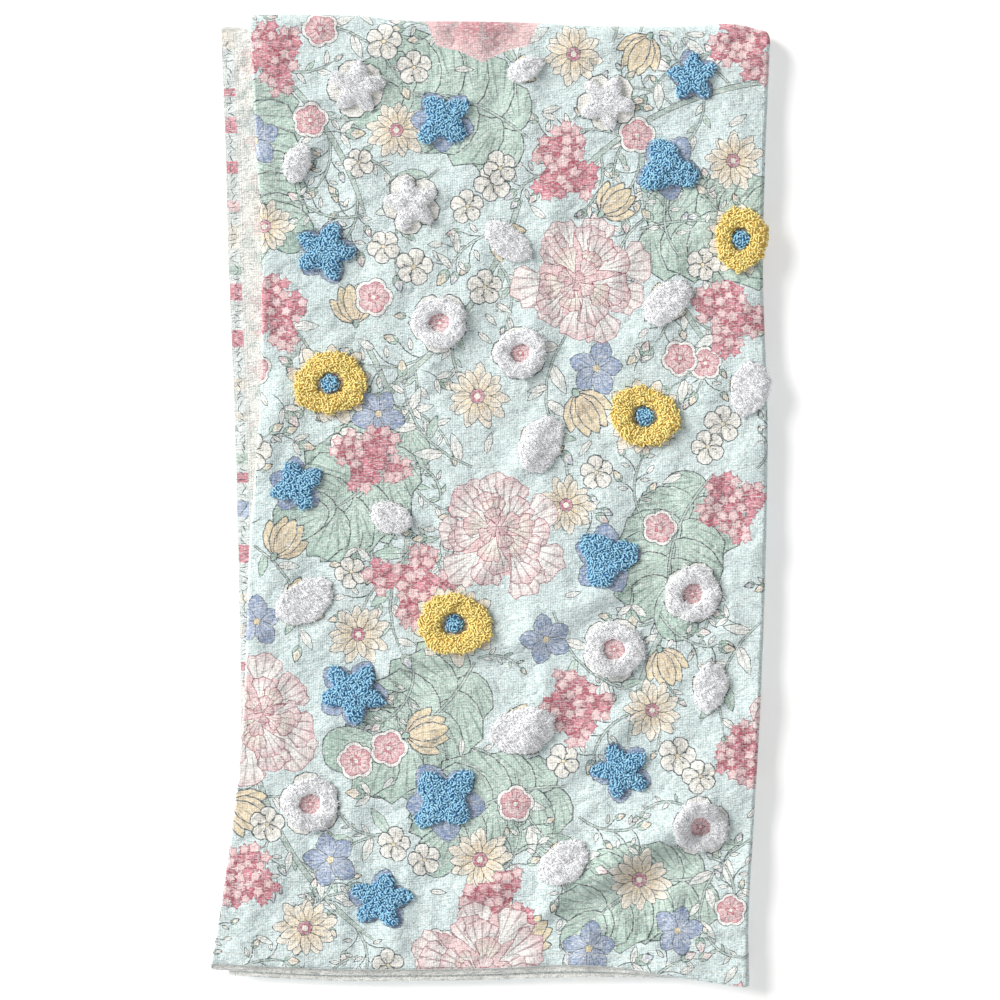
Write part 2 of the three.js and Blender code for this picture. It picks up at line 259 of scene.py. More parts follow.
def folds_at(along):
    """The axes of the left and right folds and the under panel's hem, at stations along the length.

    Along is 0 to 1 on the upper half, to 2 round the half fold and to 3 on the lower half.
    """
    up = np.where(along < 2, np.minimum(along, 1), 3 - along)
    tuck = (1 - np.cos(math.pi * np.clip(along - 1, 0, 1))) / 2
    left = smooth_at(SIDES, "left_fold", up) + (LAYER_STEP + CLOTH_THICK) / 2 + LOWER_TUCK["left"] * tuck
    right = smooth_at(SIDES, "right_fold", up) - HALF_THICK - LOWER_TUCK["right"] * tuck
    under = smooth_at(SIDES, "under_hem", up) + LOWER_TUCK["left"] * tuck
    return left, right, under


def ends_at(across):
    """The upper hem and the half fold's axis, at stations across the width.

    Across is 0 to 1 on the top panel, to 2 round the right fold and to 3 on the under panel, and
    down to -1 round the left fold and to -2 on the inner flap.
    """
    flap = np.clip(-1 - across, 0, 1)
    over = np.where(across < 0, flap, np.where(across < 2, np.clip(across, 0, 1), 3 - across))
    round_left = math.pi * np.clip(-across, 0, 1)
    round_right = math.pi * np.clip(across - 1, 0, 1)
    depth = np.where(across < 0, (1 - np.cos(round_left)) / 4, (1 - np.cos(round_right)) / 2)
    hem = mix(smooth_at(ENDS, "top_hem", over), smooth_at(ENDS, "under_hem", over), depth)
    axis = smooth_at(ENDS, "half_fold", over) - HALF_STEP / 2 - HALF_THICK - INNER_LAG * depth
    return hem, axis


def spread(across, along):
    """The spread-out place of stations."""
    left, right, under = folds_at(along)
    hem, axis = ends_at(across)
    x = left + (right - left) * np.clip(across, 0, 1)
    x = x + RIGHT_ARC * np.clip(across - 1, 0, 1) + (right - under) * np.clip(across - 2, 0, 1)
    x = x - LEFT_ARC * np.clip(-across, 0, 1) - (right - left) * np.clip(-1 - across, 0, 1)
    y = hem + (axis - hem) * np.clip(along, 0, 1) + HALF_ARC * np.clip(along - 1, 0, 1)
    y = y + (axis - hem - LOWER_TUCK["bottom"]) * np.clip(along - 2, 0, 1)
    return x + 1j * y


def stations(place):
    """The stations of spread-out places: the opposite of spread."""
    x, y = place.real, place.imag
    across = np.clip((x - PANEL_START[0]) / PANEL_SIZE[0], -1.9, 2.9)
    along = np.clip((y - PANEL_START[1]) / PANEL_SIZE[1], 0, 3)
    for _ in range(6):
        left, right, under = folds_at(along)
        hem, axis = ends_at(across)
        start = right + RIGHT_ARC
        across = between(x, left, right) + between(x, right, start) + between(x, start, start + right - under)
        end = left - LEFT_ARC
        across = across - between(-x, -left, -end) - between(-x, -end, right - left - end)
        across = np.maximum(across, -1 - FLAP_REACH)
        start = axis + HALF_ARC
        lower = start + axis - hem - LOWER_TUCK["bottom"]
        along = between(y, hem, axis) + between(y, axis, start) + between(y, start, lower)
    return across, along


def edge_distance(across, along):
    """How far stations are from the sheet's nearest edge."""
    left, right, under = folds_at(along)
    hem, axis = ends_at(across)
    return np.minimum.reduce([
        (across + 1 + FLAP_REACH) * (right - left),
        (3 - across) * (right - under),
        along * (axis - hem),
        (3 - along) * (axis - hem - LOWER_TUCK["bottom"]),
    ])


def relief(table, x, y):
    """Height of a table's soft ridges and troughs at a place."""
    height = 0
    for row in table:
        turn = math.radians(row.turn)
        along = ((x - row.x) * math.cos(turn) + (y - row.y) * math.sin(turn)) / row.long
        aside = ((y - row.y) * math.cos(turn) - (x - row.x) * math.sin(turn)) / row.wide
        height = height + row.rise * np.exp(-along * along - aside * aside)
    return height


WRINKLE_RISE = 2.3
DEEPEST = 1.6
LOFT = 1.2
RUMPLES = {"count": 40, "shortest": 14, "longest": 70, "height": 0.3, "seed": 5}


def waves(kind, x, y):
    """The height of low, uneven waves that run every way."""
    rng = np.random.default_rng(kind["seed"])
    height = 0
    for _ in range(kind["count"]):
        wave = rng.uniform(kind["shortest"], kind["longest"])
        angle, phase = rng.uniform(0, TAU, 2)
        size = kind["height"] * wave / kind["longest"]
        height = height + size * np.sin(TAU * (x * math.cos(angle) + y * math.sin(angle)) / wave + phase)
    return height


def fold(across, along, rise, lift):
    """Points of the folded sheet at some rise from the middle of the cloth, towards its printed face.

    Lift is how far the top panel stands up there above the layers under it.
    """
    left, right, under = folds_at(along)
    hem, axis = ends_at(across)
    round_left = math.pi * np.clip(-across, 0, 1)
    round_right = math.pi * np.clip(across - 1, 0, 1)
    round_half = math.pi * np.clip(along - 1, 0, 1)
    small = LAYER_STEP / 2 + rise
    large = LAYER_STEP + rise
    x = left + (right - left) * (np.clip(across, 0, 1) + np.clip(-1 - across, 0, 1))
    x = x - (right - under) * np.clip(across - 2, 0, 1)
    x = x + large * np.sin(round_right) - small * np.sin(round_left)
    height = np.where(across < 0, LAYER_STEP / 2 + small * np.cos(round_left), large * np.cos(round_right))
    radius = HALF_STEP / 2 + height
    y = hem + (axis - hem) * np.clip(along, 0, 1)
    y = y - (axis - hem - LOWER_TUCK["bottom"]) * np.clip(along - 2, 0, 1) + radius * np.sin(round_half)
    z = MIDDLE_LEVEL + radius * np.cos(round_half)
    z = z * (1 + relief(CREASES, x, y) / STACK_HEIGHT)
    top = (1 + np.cos(round_left)) * (1 + np.cos(round_right)) * (1 + np.cos(round_half)) / 8
    z = z + top * lift
    return np.stack([x, y, z], axis=-1)


def hem_swell(distance):
    """How much thicker the turned hem is, over half the cloth's thickness, at a distance from the edge."""
    step = between(distance, HEM_WIDTH + 0.6, HEM_WIDTH - 0.6)
    groove = np.exp(-(((distance - HEM_WIDTH + 1.6) / 0.7) ** 2))
    return 1 + (HEM_SWELL - 1) * step - 0.22 * groove


def folded(place, side=1.0, above=0.0):
    """Points of the folded throw over spread-out places: the printed face is side 1, the reverse is -1.

    The reverse follows the top panel's wrinkles near its edge only, and stays under them elsewhere.
    """
    across, along = stations(place)
    distance = edge_distance(across, along)
    lift = WRINKLE_RISE * relief(WRINKLES, place.real, place.imag) + waves(RUMPLES, place.real, place.imag)
    lift = np.where(lift < 0, DEEPEST * np.tanh(lift / DEEPEST), lift)
    if side < 0:
        lift = mix(-DEEPEST, lift, np.exp(-((distance / 12) ** 2)))
    rise = side * (CLOTH_THICK / 2) * hem_swell(distance) + above
    return fold(across, along, rise, LOFT + lift)


def folded_normals(place, side=1.0, step=0.4):
    """Outward directions of the folded throw over spread-out places."""
    aside = folded(place + step, side) - folded(place - step, side)
    ahead = folded(place + 1j * step, side) - folded(place - 1j * step, side)
    normals = np.cross(aside, ahead) * np.sign(side)
    return normals / np.linalg.norm(normals, axis=1, keepdims=True)

# ---- The printed flowers ---------------------------------------------------------------------


def linear(code):
    """A colour's linear red, green and blue from its six-digit code."""
    parts = np.array([int(code[at:at + 2], 16) / 255 for at in (0, 2, 4)])
    return tuple(np.where(parts <= 0.04045, parts / 12.92, ((parts + 0.055) / 1.055) ** 2.4).tolist())


INK_CODES = {
    "ground": "D8EAEA", "ink": "2A363E", "soft_ink": "5A676F", "rose_ink": "963A52", "white": "FAF8F3",
    "shell": "F7E4DF", "cream": "F8F1E4", "peach": "F1D9B4", "butter": "F3E0B6", "blush": "F4CBCC",
    "rose": "DE8494", "deep_rose": "BE5468", "mauve": "D3A6BA", "blue": "788FBA", "pale_blue": "B4C2DE",
    "sage": "A6C6B5", "pale_sage": "C0D8CB", "stem": "B3C7BE", "mist": "DDEAE5", "hem": "E9F0EE",
    "reverse": "F6F4EE", "ghost_rose": "ECDEDA", "ghost_green": "E0E5DF", "thread": "F5F3EC",
    "thread_shadow": "A9AFAD",
}
INKS = {name: linear(code) for name, code in INK_CODES.items()}
LINE = 1.0
FINE_LINE = 0.8
SMALLEST_AREA = 0.05


def area_of(outline):
    """An outline's area, below 0 where it runs clockwise."""
    return (outline.conjugate() * np.roll(outline, -1)).imag.sum() / 2


def inset(outline, width):
    """An outline that runs anticlockwise, moved in by a width."""
    ahead = np.roll(outline, -1) - outline
    behind = outline - np.roll(outline, 1)
    along = ahead / np.maximum(abs(ahead), 1e-6) + behind / np.maximum(abs(behind), 1e-6)
    size = np.maximum(abs(along), 0.55)
    return outline + 1j * along / size * (2 * width / size)


def petal(breadth, base=0.8, tip=0.5, steps=5, bend=0.0):
    """A petal from 0 to 1: a small base or tip power makes that end round, and 1 or more a point."""
    s = (1 - np.cos(math.pi * np.arange(1, steps) / steps)) / 2
    fullest = (base / (base + tip)) ** base * (tip / (base + tip)) ** tip
    half = breadth / 2 * s ** base * (1 - s) ** tip / fullest
    outline = np.concatenate([[0], s - 1j * half, [1], (s + 1j * half)[::-1]])
    return outline + 1j * bend * outline.real ** 2


def lobed(count, depth, points=4, power=0.8):
    """A round outline of radius 1 with lobes, and notches of a depth between them."""
    angles = TAU * np.arange(points * count) / (points * count)
    return (1 - depth + depth * abs(np.cos(count * angles / 2)) ** power) * np.exp(1j * angles)


def arc(start, end, bow, steps):
    """Points from start to end along a bow, whose height is a share of the length."""
    s = np.linspace(0, 1, steps)
    return mix(start, end, s) + 4j * bow * (end - start) * s * (1 - s)


def wheel(count, start=0.0):
    """Directions of a whole turn, evenly apart."""
    return np.exp(1j * (start + TAU * np.arange(count) / count))


def plain_fill(rim, core):
    """A fill without a place of its own."""
    return (*rim, 0, *core, 0, 0, 1, 0)


class Print:
    """Areas of colour laid over each other on the spread-out sheet, each an outline with its fill.

    A fill is its rim colour, how many strokes it has round its middle, its core colour, its middle
    and its reach, which is also the direction that the strokes are counted from.
    """

    def __init__(self, inks):
        self.inks = inks
        self.outlines = []
        self.fills = []
        self.rng = np.random.default_rng(11)
        self.origin = 0j
        self.scale = 1 + 0j

    def at(self, place, turn, size):
        """Sets where the next shapes go."""
        self.origin = place
        self.scale = size * heading(turn)

    def lay(self, outline, rim, core=None, middle=0j, reach=1.0, strokes=0):
        """An area of the sheet itself, in millimetres."""
        size = area_of(outline)
        if abs(size) < SMALLEST_AREA:
            return
        self.outlines.append(outline if size > 0 else outline[::-1])
        if core is None:
            self.fills.append(plain_fill(self.inks[rim], self.inks[rim]))
            return
        middle = middle * self.scale + self.origin
        reach = reach * self.scale
        place = (middle.real, middle.imag, reach.real, reach.imag)
        self.fills.append((*self.inks[rim], strokes, *self.inks[core], *place))

    def swayed(self, turn, most):
        """A direction turned a little to either side."""
        return turn * np.exp(1j * self.rng.uniform(-most, most))

    def area(self, outline, rim, *fill):
        """An area whose colour runs from core at its middle to rim at its reach."""
        self.lay(outline * self.scale + self.origin, rim, *fill)

    def inked(self, outline, rim, *fill, ink="ink", line=LINE):
        """An area with an ink line round it, a little uneven in weight."""
        outline = outline * self.scale + self.origin
        self.lay(outline, ink)
        widest = 0.34 * math.sqrt(abs(area_of(outline)) / math.pi)
        inner = inset(outline, min(line, widest) * self.rng.uniform(0.7, 1.2, len(outline)))
        if area_of(inner) > SMALLEST_AREA:
            self.lay(inner, rim, *fill)

    def line(self, points, colour="ink", wide=FINE_LINE, ends=(0.4, 0.4)):
        """A line along points, tapered to a share of its width at each end."""
        points = points * self.scale + self.origin
        s = np.linspace(0, 1, len(points))
        taper = np.minimum(1, np.minimum(ends[0] + 4 * s, ends[1] + 4 * (1 - s)))
        along = np.gradient(points)
        aside = 1j * along / np.maximum(abs(along), 1e-6) * wide / 2 * taper
        self.lay(np.concatenate([points - aside, (points + aside)[::-1]]), colour)

    def stem(self, points, wide, ends=(0.9, 0.4)):
        """A stem: two ink lines with its own colour between them."""
        self.line(points, "ink", wide, ends)
        self.line(points, "stem", wide - 1.1, ends)

    def part(self, place, lean, share):
        """A pen for a part that stands on a place of this shape, leaned over and at a share of its size."""
        pen = Print(self.inks)
        pen.outlines, pen.fills, pen.rng = self.outlines, self.fills, self.rng
        pen.origin = place * self.scale + self.origin
        pen.scale = self.scale * share * heading(lean)
        return pen


PetalRing = namedtuple("PetalRing", "petals base reach wide rim core")
PEONY_RINGS = [
    PetalRing(7, 0.34, 0.70, 0.60, "blush", "white"),
    PetalRing(6, 0.25, 0.64, 0.58, "rose", "white"),
    PetalRing(5, 0.17, 0.55, 0.62, "rose", "white"),
    PetalRing(5, 0.09, 0.44, 0.60, "rose", "cream"),
    PetalRing(4, 0.03, 0.32, 0.62, "rose", "shell"),
    PetalRing(3, 0.0, 0.18, 0.70, "deep_rose", "blush"),
]


def fan(wide, rng, steps=8):
    """A fan-shaped petal from 0 to 1 with a ruffled far edge: wide is half its angle."""
    t = np.linspace(-1, 1, steps)
    reach = (1 - 0.17 * t * t) * (1 + 0.05 * np.cos(3 * math.pi * t + rng.uniform(-0.6, 0.6)))
    edge = reach * rng.uniform(0.95, 1.04, steps) * np.exp(1j * wide * t)
    side = 0.46 * np.exp(0.84j * wide)
    return np.concatenate([[0, side.conjugate()], edge, [side]])


def peony(draw):
    """A full ruffled flower: rings of broad petals round a middle off to one side, the outer ones first."""
    tilt = 0.15 * np.exp(1j * draw.rng.uniform(0, TAU))
    draw.area(0.68 * lobed(9, 0.1, 2), "blush")
    for number, ring in enumerate(PEONY_RINGS):
        for turn in draw.rng.permutation(wheel(ring.petals, 0.35 + 0.9 * number)):
            turn = draw.swayed(turn, 0.3)
            reach = turn * ring.reach * draw.rng.uniform(0.8, 1.08)
            base = turn * ring.base + tilt * number / 5
            shape = base + reach * fan(ring.wide, draw.rng)
            draw.inked(shape, ring.rim, ring.core, base, 1.38 * reach, 24, ink="rose_ink", line=0.6)


def daisy(draw, count=9, breadth=0.4):
    """Rayed petals in two rows round a ringed middle."""
    for row, reach in enumerate((1.0, 0.86)):
        for turn in wheel(count, 0.35 * row + draw.rng.uniform(0, 0.1)):
            turn = draw.swayed(turn, 0.08) * reach * draw.rng.uniform(0.9, 1.06)
            shape = petal(breadth, 0.8, 0.62, 5, draw.rng.uniform(-0.12, 0.12))
            draw.inked(turn * shape, "cream", "peach", 0j, turn, 14, line=0.62)
    draw.inked(0.25 * lobed(6, 0.1, 2), "mauve", "deep_rose", 0j, 0.3, line=0.6)
    draw.inked(0.12 * wheel(6), "cream", ink="rose_ink", line=0.4)


def phlox(draw):
    """A rose flower of round petals with a pale rim all round it."""
    outline = lobed(5, 0.17, 6, 0.75)
    draw.inked(outline, "white", ink="ink", line=0.7)
    draw.inked(0.8 * outline, "rose", "blush", 0j, 0.9, 15, ink="rose_ink", line=0.5)
    draw.inked(0.36 * lobed(5, 0.4, 2), "deep_rose", "rose", 0j, 0.4, ink="rose_ink", line=0.4)
    draw.inked(0.15 * wheel(6), "cream", ink="rose_ink", line=0.4)


def lilac(draw):
    """An uneven, forked cluster of dense starry florets."""
    clumps = [(0.0, 0.52), (0.62 + 0.1j, 0.42), (0.16 + 0.56j, 0.4), (0.1 - 0.56j, 0.38), (-0.5 + 0.1j, 0.34)]
    clumps = [(place + 0.14 * draw.rng.uniform(-1, 1, 2) @ (1, 1j), size) for place, size in clumps]
    for place, size in clumps:
        draw.area(place + size * lobed(6, 0.2, 2), "deep_rose")
    found = []
    for _ in range(420):
        clump, size = clumps[draw.rng.integers(len(clumps))]
        place = clump + size * math.sqrt(draw.rng.random()) * np.exp(1j * draw.rng.uniform(0, TAU))
        if all(abs(place - other) > 0.215 for other in found):
            found.append(place)
    for place in found:
        rim, core = (("rose", "blush"), ("deep_rose", "rose"), ("deep_rose", "blush"))[draw.rng.integers(3)]
        size = draw.rng.uniform(0.17, 0.21)
        shape = lobed(5, 0.42, 2, 1) * np.exp(1j * draw.rng.uniform(0, TAU))
        draw.inked(place + size * shape, rim, core, place, size, ink="rose_ink", line=0.45)


def bluet(draw):
    """Pointed blue petals with fine veins round a pale middle."""
    for turn in wheel(5, 0.1):
        turn = draw.swayed(turn, 0.08) * draw.rng.uniform(0.92, 1.05)
        shape = petal(0.78, 0.75, 0.72, 5, draw.rng.uniform(-0.14, 0.14))
        draw.inked(turn * shape, "blue", "pale_blue", 0j, turn, 22, line=0.62)
    draw.inked(0.17 * lobed(5, 0.3, 2), "butter", ink="ink", line=0.4)


def blossom(draw):
    """Five round pale petals with stamens."""
    start = draw.rng.uniform(0, 1)
    for turn in wheel(5, start):
        shape = petal(0.92, 0.66, 0.42, 5) * draw.rng.uniform(0.92, 1.04)
        draw.inked(turn * shape, "white", "cream", 0j, turn, 10)
    for turn in wheel(5, start + 0.3):
        reach = draw.rng.uniform(0.34, 0.5)
        draw.line(np.array([0.1, reach]) * turn, "soft_ink", 0.55, (1, 1))
        draw.area(reach * turn + 0.065 * wheel(4), "ink")
    draw.inked(0.14 * wheel(6), "butter", line=0.4)


def lily(draw):
    """A cup of pointed petals seen from the side, on its green foot."""
    for angle, length in ((-0.85, 0.86), (0.85, 0.86), (-0.42, 0.98), (0.42, 0.98), (0, 1.0)):
        turn = np.exp(1j * angle) * length
        draw.inked(turn * petal(0.46, 0.8, 0.8, 5, -0.18 * np.sign(angle)), "butter", "peach", 0j, turn, 16)
    draw.inked(0.1 - 0.24 * petal(0.8, 0.5, 0.6, 4), "sage")


def leaf(draw, breadth=0.38, rim="mist", core="white"):
    """A pointed leaf with its midrib."""
    bend = draw.rng.uniform(-0.14, 0.14)
    draw.inked(petal(breadth, 0.7, 0.9, 4, bend), rim, core, 0j, 1.0, line=0.62)
    draw.line(np.array([0.04, 0.76 + 0.58j * bend]), "ink", 0.5, (1, 0.3))


def frond(draw, lobes=6):
    """A broad leaf of round lobes along a bowed rib, with veins in every lobe."""
    bow = draw.rng.choice([-0.14, 0.14])
    rib = arc(0j, 1 + 0j, bow, 41)
    for number in range(lobes):
        share = number / lobes
        foot = rib[round(40 * (0.06 + 0.76 * share))]
        length = 0.46 * math.sin(math.pi * (0.24 + 0.62 * share)) ** 0.8
        for side in (1, -1):
            turn = np.exp(1j * side * (1.02 - 0.5 * share)) * length * draw.rng.uniform(0.9, 1.1)
            shape = petal(0.8, 0.62, 0.5, 7, -0.14 * side)
            shape = shape * (1 + 0.05 * np.cos(math.pi * np.arange(len(shape))) * (shape.real > 0.4))
            draw.inked(foot + turn * shape, "sage", "pale_sage", foot, 1.15 * turn, 24)
    foot = rib[30]
    turn = 0.36 * np.exp(-3.6j * bow)
    draw.inked(foot + turn * petal(0.8, 0.6, 0.4, 8), "sage", "pale_sage", foot, turn, 24)
    draw.stem(rib[:32:5], 2.6)


def bud(draw):
    """A closed bud on its sepals."""
    rim, core = (("blush", "white"), ("butter", "cream"), ("peach", "cream"), ("pale_blue", "white"))[
        draw.rng.integers(4)]
    draw.inked(petal(0.6, 0.5, 0.8, 4), rim, core, 0j, 1.0, 14)
    for side in (-0.5, 0.5):
        draw.inked(np.exp(1j * side) * 0.6 * petal(0.42, 0.6, 0.9, 3), "sage", line=0.5)


def spray(draw):
    """A forked twig with a bud or a small leaf at every end."""
    bow = 0.14 * draw.rng.choice([-1, 1])
    stem = arc(0j, 0.86 + 0j, bow, 13)
    for number, at in enumerate((3, 5, 7, 9, 11)):
        side = 1 if number % 2 else -1
        reach = draw.rng.uniform(0.2, 0.34) * np.exp(1j * side * draw.rng.uniform(0.6, 0.95))
        draw.line(arc(stem[at], stem[at] + reach, -0.12 * side, 4), "ink", 1.0, (1, 0.8))
        lean = math.degrees(np.angle(reach)) - 14 * side
        tip = draw.part(stem[at] + reach, lean, draw.rng.uniform(0.17, 0.23))
        if number % 3 == 2:
            leaf(tip, 0.5)
        else:
            bud(tip)
        leaf(draw.part(stem[at] + 0.45 * reach, lean + 60 * side, 0.16), 0.46)
    draw.stem(stem[::2], 2.4)
    bud(draw.part(stem[-1], -math.degrees(3 * bow), 0.24))


def twig(draw, leaves=6):
    """A bowed stem with leaves on both sides and a bud at its tip."""
    bow = draw.rng.choice([-0.16, 0.16])
    stem = arc(0j, 0.9 + 0j, bow, 41)
    for number in range(leaves):
        share = (number + 0.7) / (leaves + 0.5)
        side = 1 if number % 2 else -1
        lean = side * draw.rng.uniform(34, 60) + math.degrees(4 * bow * (1 - 2 * share))
        pen = draw.part(stem[round(40 * share)], lean, draw.rng.uniform(0.2, 0.3) * (1 - 0.3 * share))
        if draw.rng.random() < 0.3:
            leaf(pen, 0.42, "sage", "pale_sage")
        else:
            leaf(pen, 0.42)
    draw.stem(stem[::8], 2.4)
    bud(draw.part(stem[-1], -math.degrees(4 * bow), max(8 / abs(draw.scale), 0.15)))


def branch(draw):
    """A thick bowed branch with side twigs."""
    bow = 0.1 * draw.rng.choice([-1, 1])
    stem = arc(0j, 1 + 0j, bow, 61)
    for number in range(7):
        share = (number + 0.9) / 8
        side = 1 if number % 2 else -1
        lean = side * draw.rng.uniform(28, 44) + math.degrees(4 * bow * (1 - 2 * share))
        grown = (spray, twig)[number % 2]
        grown(draw.part(stem[round(60 * share)], lean, draw.rng.uniform(0.26, 0.36)))
    draw.stem(stem[::5], 4.8, (1, 0.45))


def pair(draw):
    """Two small leaves and a bud on a short stalk."""
    draw.line(arc(-0.5 + 0j, 0.2 + 0j, 0.1, 4), "ink", 0.9)
    leaf(draw.part(0.05 + 0j, 52, 0.62), 0.42)
    leaf(draw.part(0.05 + 0j, -46, 0.56), 0.42)
    bud(draw.part(0.2 + 0j, 4, 0.66))


# How each motif looks on the underside: lobes, depth of the notches, rim and core.
FAR_SHAPES = {
    "peony": (9, 0.1, "blush", "deep_rose"),
    "daisy": (9, 0.4, "cream", "peach"),
    "phlox": (5, 0.17, "rose", "blush"),
    "lilac": (7, 0.35, "deep_rose", "rose"),
    "bluet": (5, 0.4, "blue", "pale_blue"),
    "blossom": (5, 0.3, "white", "cream"),
    "lily": (5, 0.4, "butter", "peach"),
}


def far_motif(draw, kind):
    """A motif in its plainest form, for the side that lies on the floor."""
    if kind in FAR_SHAPES:
        lobes, depth, rim, core = FAR_SHAPES[kind]
        draw.area(lobed(lobes, depth, 2), rim, core, 0j, 1.0, lobes)
    elif kind == "frond":
        draw.area(lobed(7, 0.2, 2) * 0.5 + 0.5, "sage", "pale_sage", 0j, 1.0, 24)
    elif kind in ("branch", "spray"):
        draw.line(arc(0j, 0.9 + 0j, 0.12, 4), "ink", 1.2)
        draw.area(0.4 + 0.34 * petal(0.4, 0.7, 0.9, 3) * 1j ** 0.5, "mist")


# The motifs placed one by one. Size is the radius of a flower or the length of
# a leaf or twig, and each place has its direction in degrees.
MOTIFS = [
    {"kind": "branch", "size": 200, "places": [
        (-214, 372, -52), (120, 300, -72), (-96, 120, -84), (196, -30, -118), (-30, -150, -58),
        (24, 238, -128), (-190, -190, -58), (214, 330, -150),
    ]},
    {"kind": "frond", "size": 128, "places": [
        (30, 286, 168), (-196, 330, -72), (176, 20, -104), (-64, 66, -138), (-12, -128, 214),
        (60, -226, -152), (176, -300, 204), (118, 214, -12),
    ]},
    {"kind": "twig", "size": 100, "places": [
        (-150, 376, -30), (20, 320, 62), (212, 352, 200), (-40, 262, -112), (188, 174, -118),
        (-176, 150, -60), (60, 130, -92), (-14, 26, 128), (-60, -34, -96), (50, -88, -44),
        (-186, -36, -66), (214, -96, -108), (20, -214, -52), (-70, -262, 214), (-8, -272, -106),
        (206, -268, -118),
    ]},
    {"kind": "spray", "size": 58, "places": [
        (66, 300, 20), (-20, 352, 150), (214, 214, 150), (60, 30, -60), (-98, 226, 170), (-8, -6, -150),
        (134, -90, -30), (-60, -134, -120), (70, -250, -10), (190, -330, 100), (-160, -330, 40),
        (0, -300, 60), (150, 192, 100), (-200, 8, 60),
    ]},
    {"kind": "lily", "size": 34, "places": [
        (126, 366, 240), (88, 226, 40), (-106, 140, 100), (68, 84, 300), (-170, -44, 60),
        (-66, -186, 10), (134, -118, 290), (22, -352, 40), (-206, -238, 330),
    ]},
    {"kind": "blossom", "size": 15.5, "places": [
        (-84, 362, 0), (-60, 342, 0), (2, 250, 0), (-18, 232, 0), (8, 262, 0), (-84, 200, 0),
        (-60, 184, 0), (-4, 168, 0), (168, 186, 0), (184, 60, 0), (172, 42, 0), (84, 22, 0),
        (-112, 44, 0), (-188, 38, 0), (58, -206, 0), (148, -202, 0), (166, -218, 0), (-76, -272, 0),
        (-52, -284, 0), (-176, -256, 0),
    ]},
    {"kind": "bluet", "size": 21.5, "places": [
        (-186, 284, 20), (-88, 68, 50), (84, 104, 0), (44, -110, 30), (-184, -96, 10), (148, -340, 0),
        (-126, -284, 35), (78, -354, 10),
    ]},
    {"kind": "daisy", "size": 25.5, "places": [
        (-74, 292, 0), (66, 352, 20), (192, 268, 10), (-10, 82, 0), (-178, 216, 30), (60, -4, 40),
        (-104, -106, 15), (128, -166, 25), (-8, -284, 0), (118, -300, 35), (-146, -338, 10),
    ]},
    {"kind": "phlox", "size": 15, "places": [
        (-142, 300, 10), (-134, 372, 40), (116, 288, 10), (-92, 160, 0), (170, 108, 20), (150, 112, 50),
        (-186, 104, 15), (134, -22, 0), (-106, -206, 30), (-80, -196, 0), (20, -240, 10),
        (190, -324, 20), (-40, -352, 45),
    ]},
    {"kind": "lilac", "size": 32, "places": [
        (-170, 348, 118), (60, 262, 62), (-166, 150, 204), (192, 142, 80), (-92, 32, 150),
        (190, -8, 30), (-60, -62, 250), (70, -162, 190), (-196, -300, 60), (6, -318, 250),
        (204, -206, 100), (206, 360, 120),
    ]},
    {"kind": "peony", "size": 56, "places": [
        (74, 176, 10), (8, -28, 60), (-186, -172, 100), (-6, 402, 30),
    ]},
]

# The print's repeat, the part of the sheet that gets motifs, and where they turn plain, past the half fold.
REPEAT = (440, 771)
DRAWN = {"left": -228, "right": 232, "bottom": -390}
FAR_SIDE = 395
# How each kind is drawn, from the lowest layer up.
SHAPES = {
    "branch": branch, "frond": frond, "twig": twig, "spray": spray, "pair": pair, "leaf": leaf, "lily": lily,
    "blossom": blossom, "bluet": bluet, "daisy": daisy, "phlox": phlox, "lilac": lilac, "peony": peony,
}

# What fills the ground between the placed motifs: the room one needs, its size and how many are tried.
FILLERS = [
    {"kind": "spray", "room": 17, "size": 52, "tries": 900},
    {"kind": "blossom", "room": 12, "size": 13, "tries": 240},
    {"kind": "twig", "room": 11, "size": 38, "tries": 900},
    {"kind": "pair", "room": 9, "size": 24, "tries": 900},
    {"kind": "leaf", "room": 6, "size": 16, "tries": 700},
]

# Printed flowers under the tufts: kind and radius over the tuft's length, the lower one first.
UNDER_TUFTS = {
    ("star", "blue"): [("bluet", 0.53)],
    ("star", "white"): [("blossom", 0.53)],
    ("ring", "white"): [("blossom", 0.53), ("phlox", 0.26)],
    ("ring", "yellow"): [("daisy", 0.57)],
    ("oval", "white"): [("lily", 0.66)],
}


def rooms(kind, x, y, turn, size):
    """Round places that a motif takes up, as (place, radius)."""
    place = complex(x, y)
    ahead = size * heading(turn)
    if kind == "frond":
        return [(place + ahead * s, 0.2 * size) for s in (0.15, 0.4, 0.65, 0.88)]
    if kind == "branch":
        return [(place + ahead * s, 0.05 * size) for s in np.linspace(0, 1, 9)]
    if kind in ("twig", "spray"):
        return [(place + ahead * s, 0.1 * size) for s in (0.1, 0.3, 0.5, 0.7, 0.95)]
    if kind == "lily":
        return [(place + 0.5 * ahead, 0.5 * size)]
    return [(place, size)]


def placed(rng):
    """The listed motifs, each a little larger or smaller than its kind."""
    return [
        (row["kind"], x, y, turn, row["size"] * rng.uniform(0.92, 1.08))
        for row in MOTIFS for x, y, turn in row["places"]
    ]


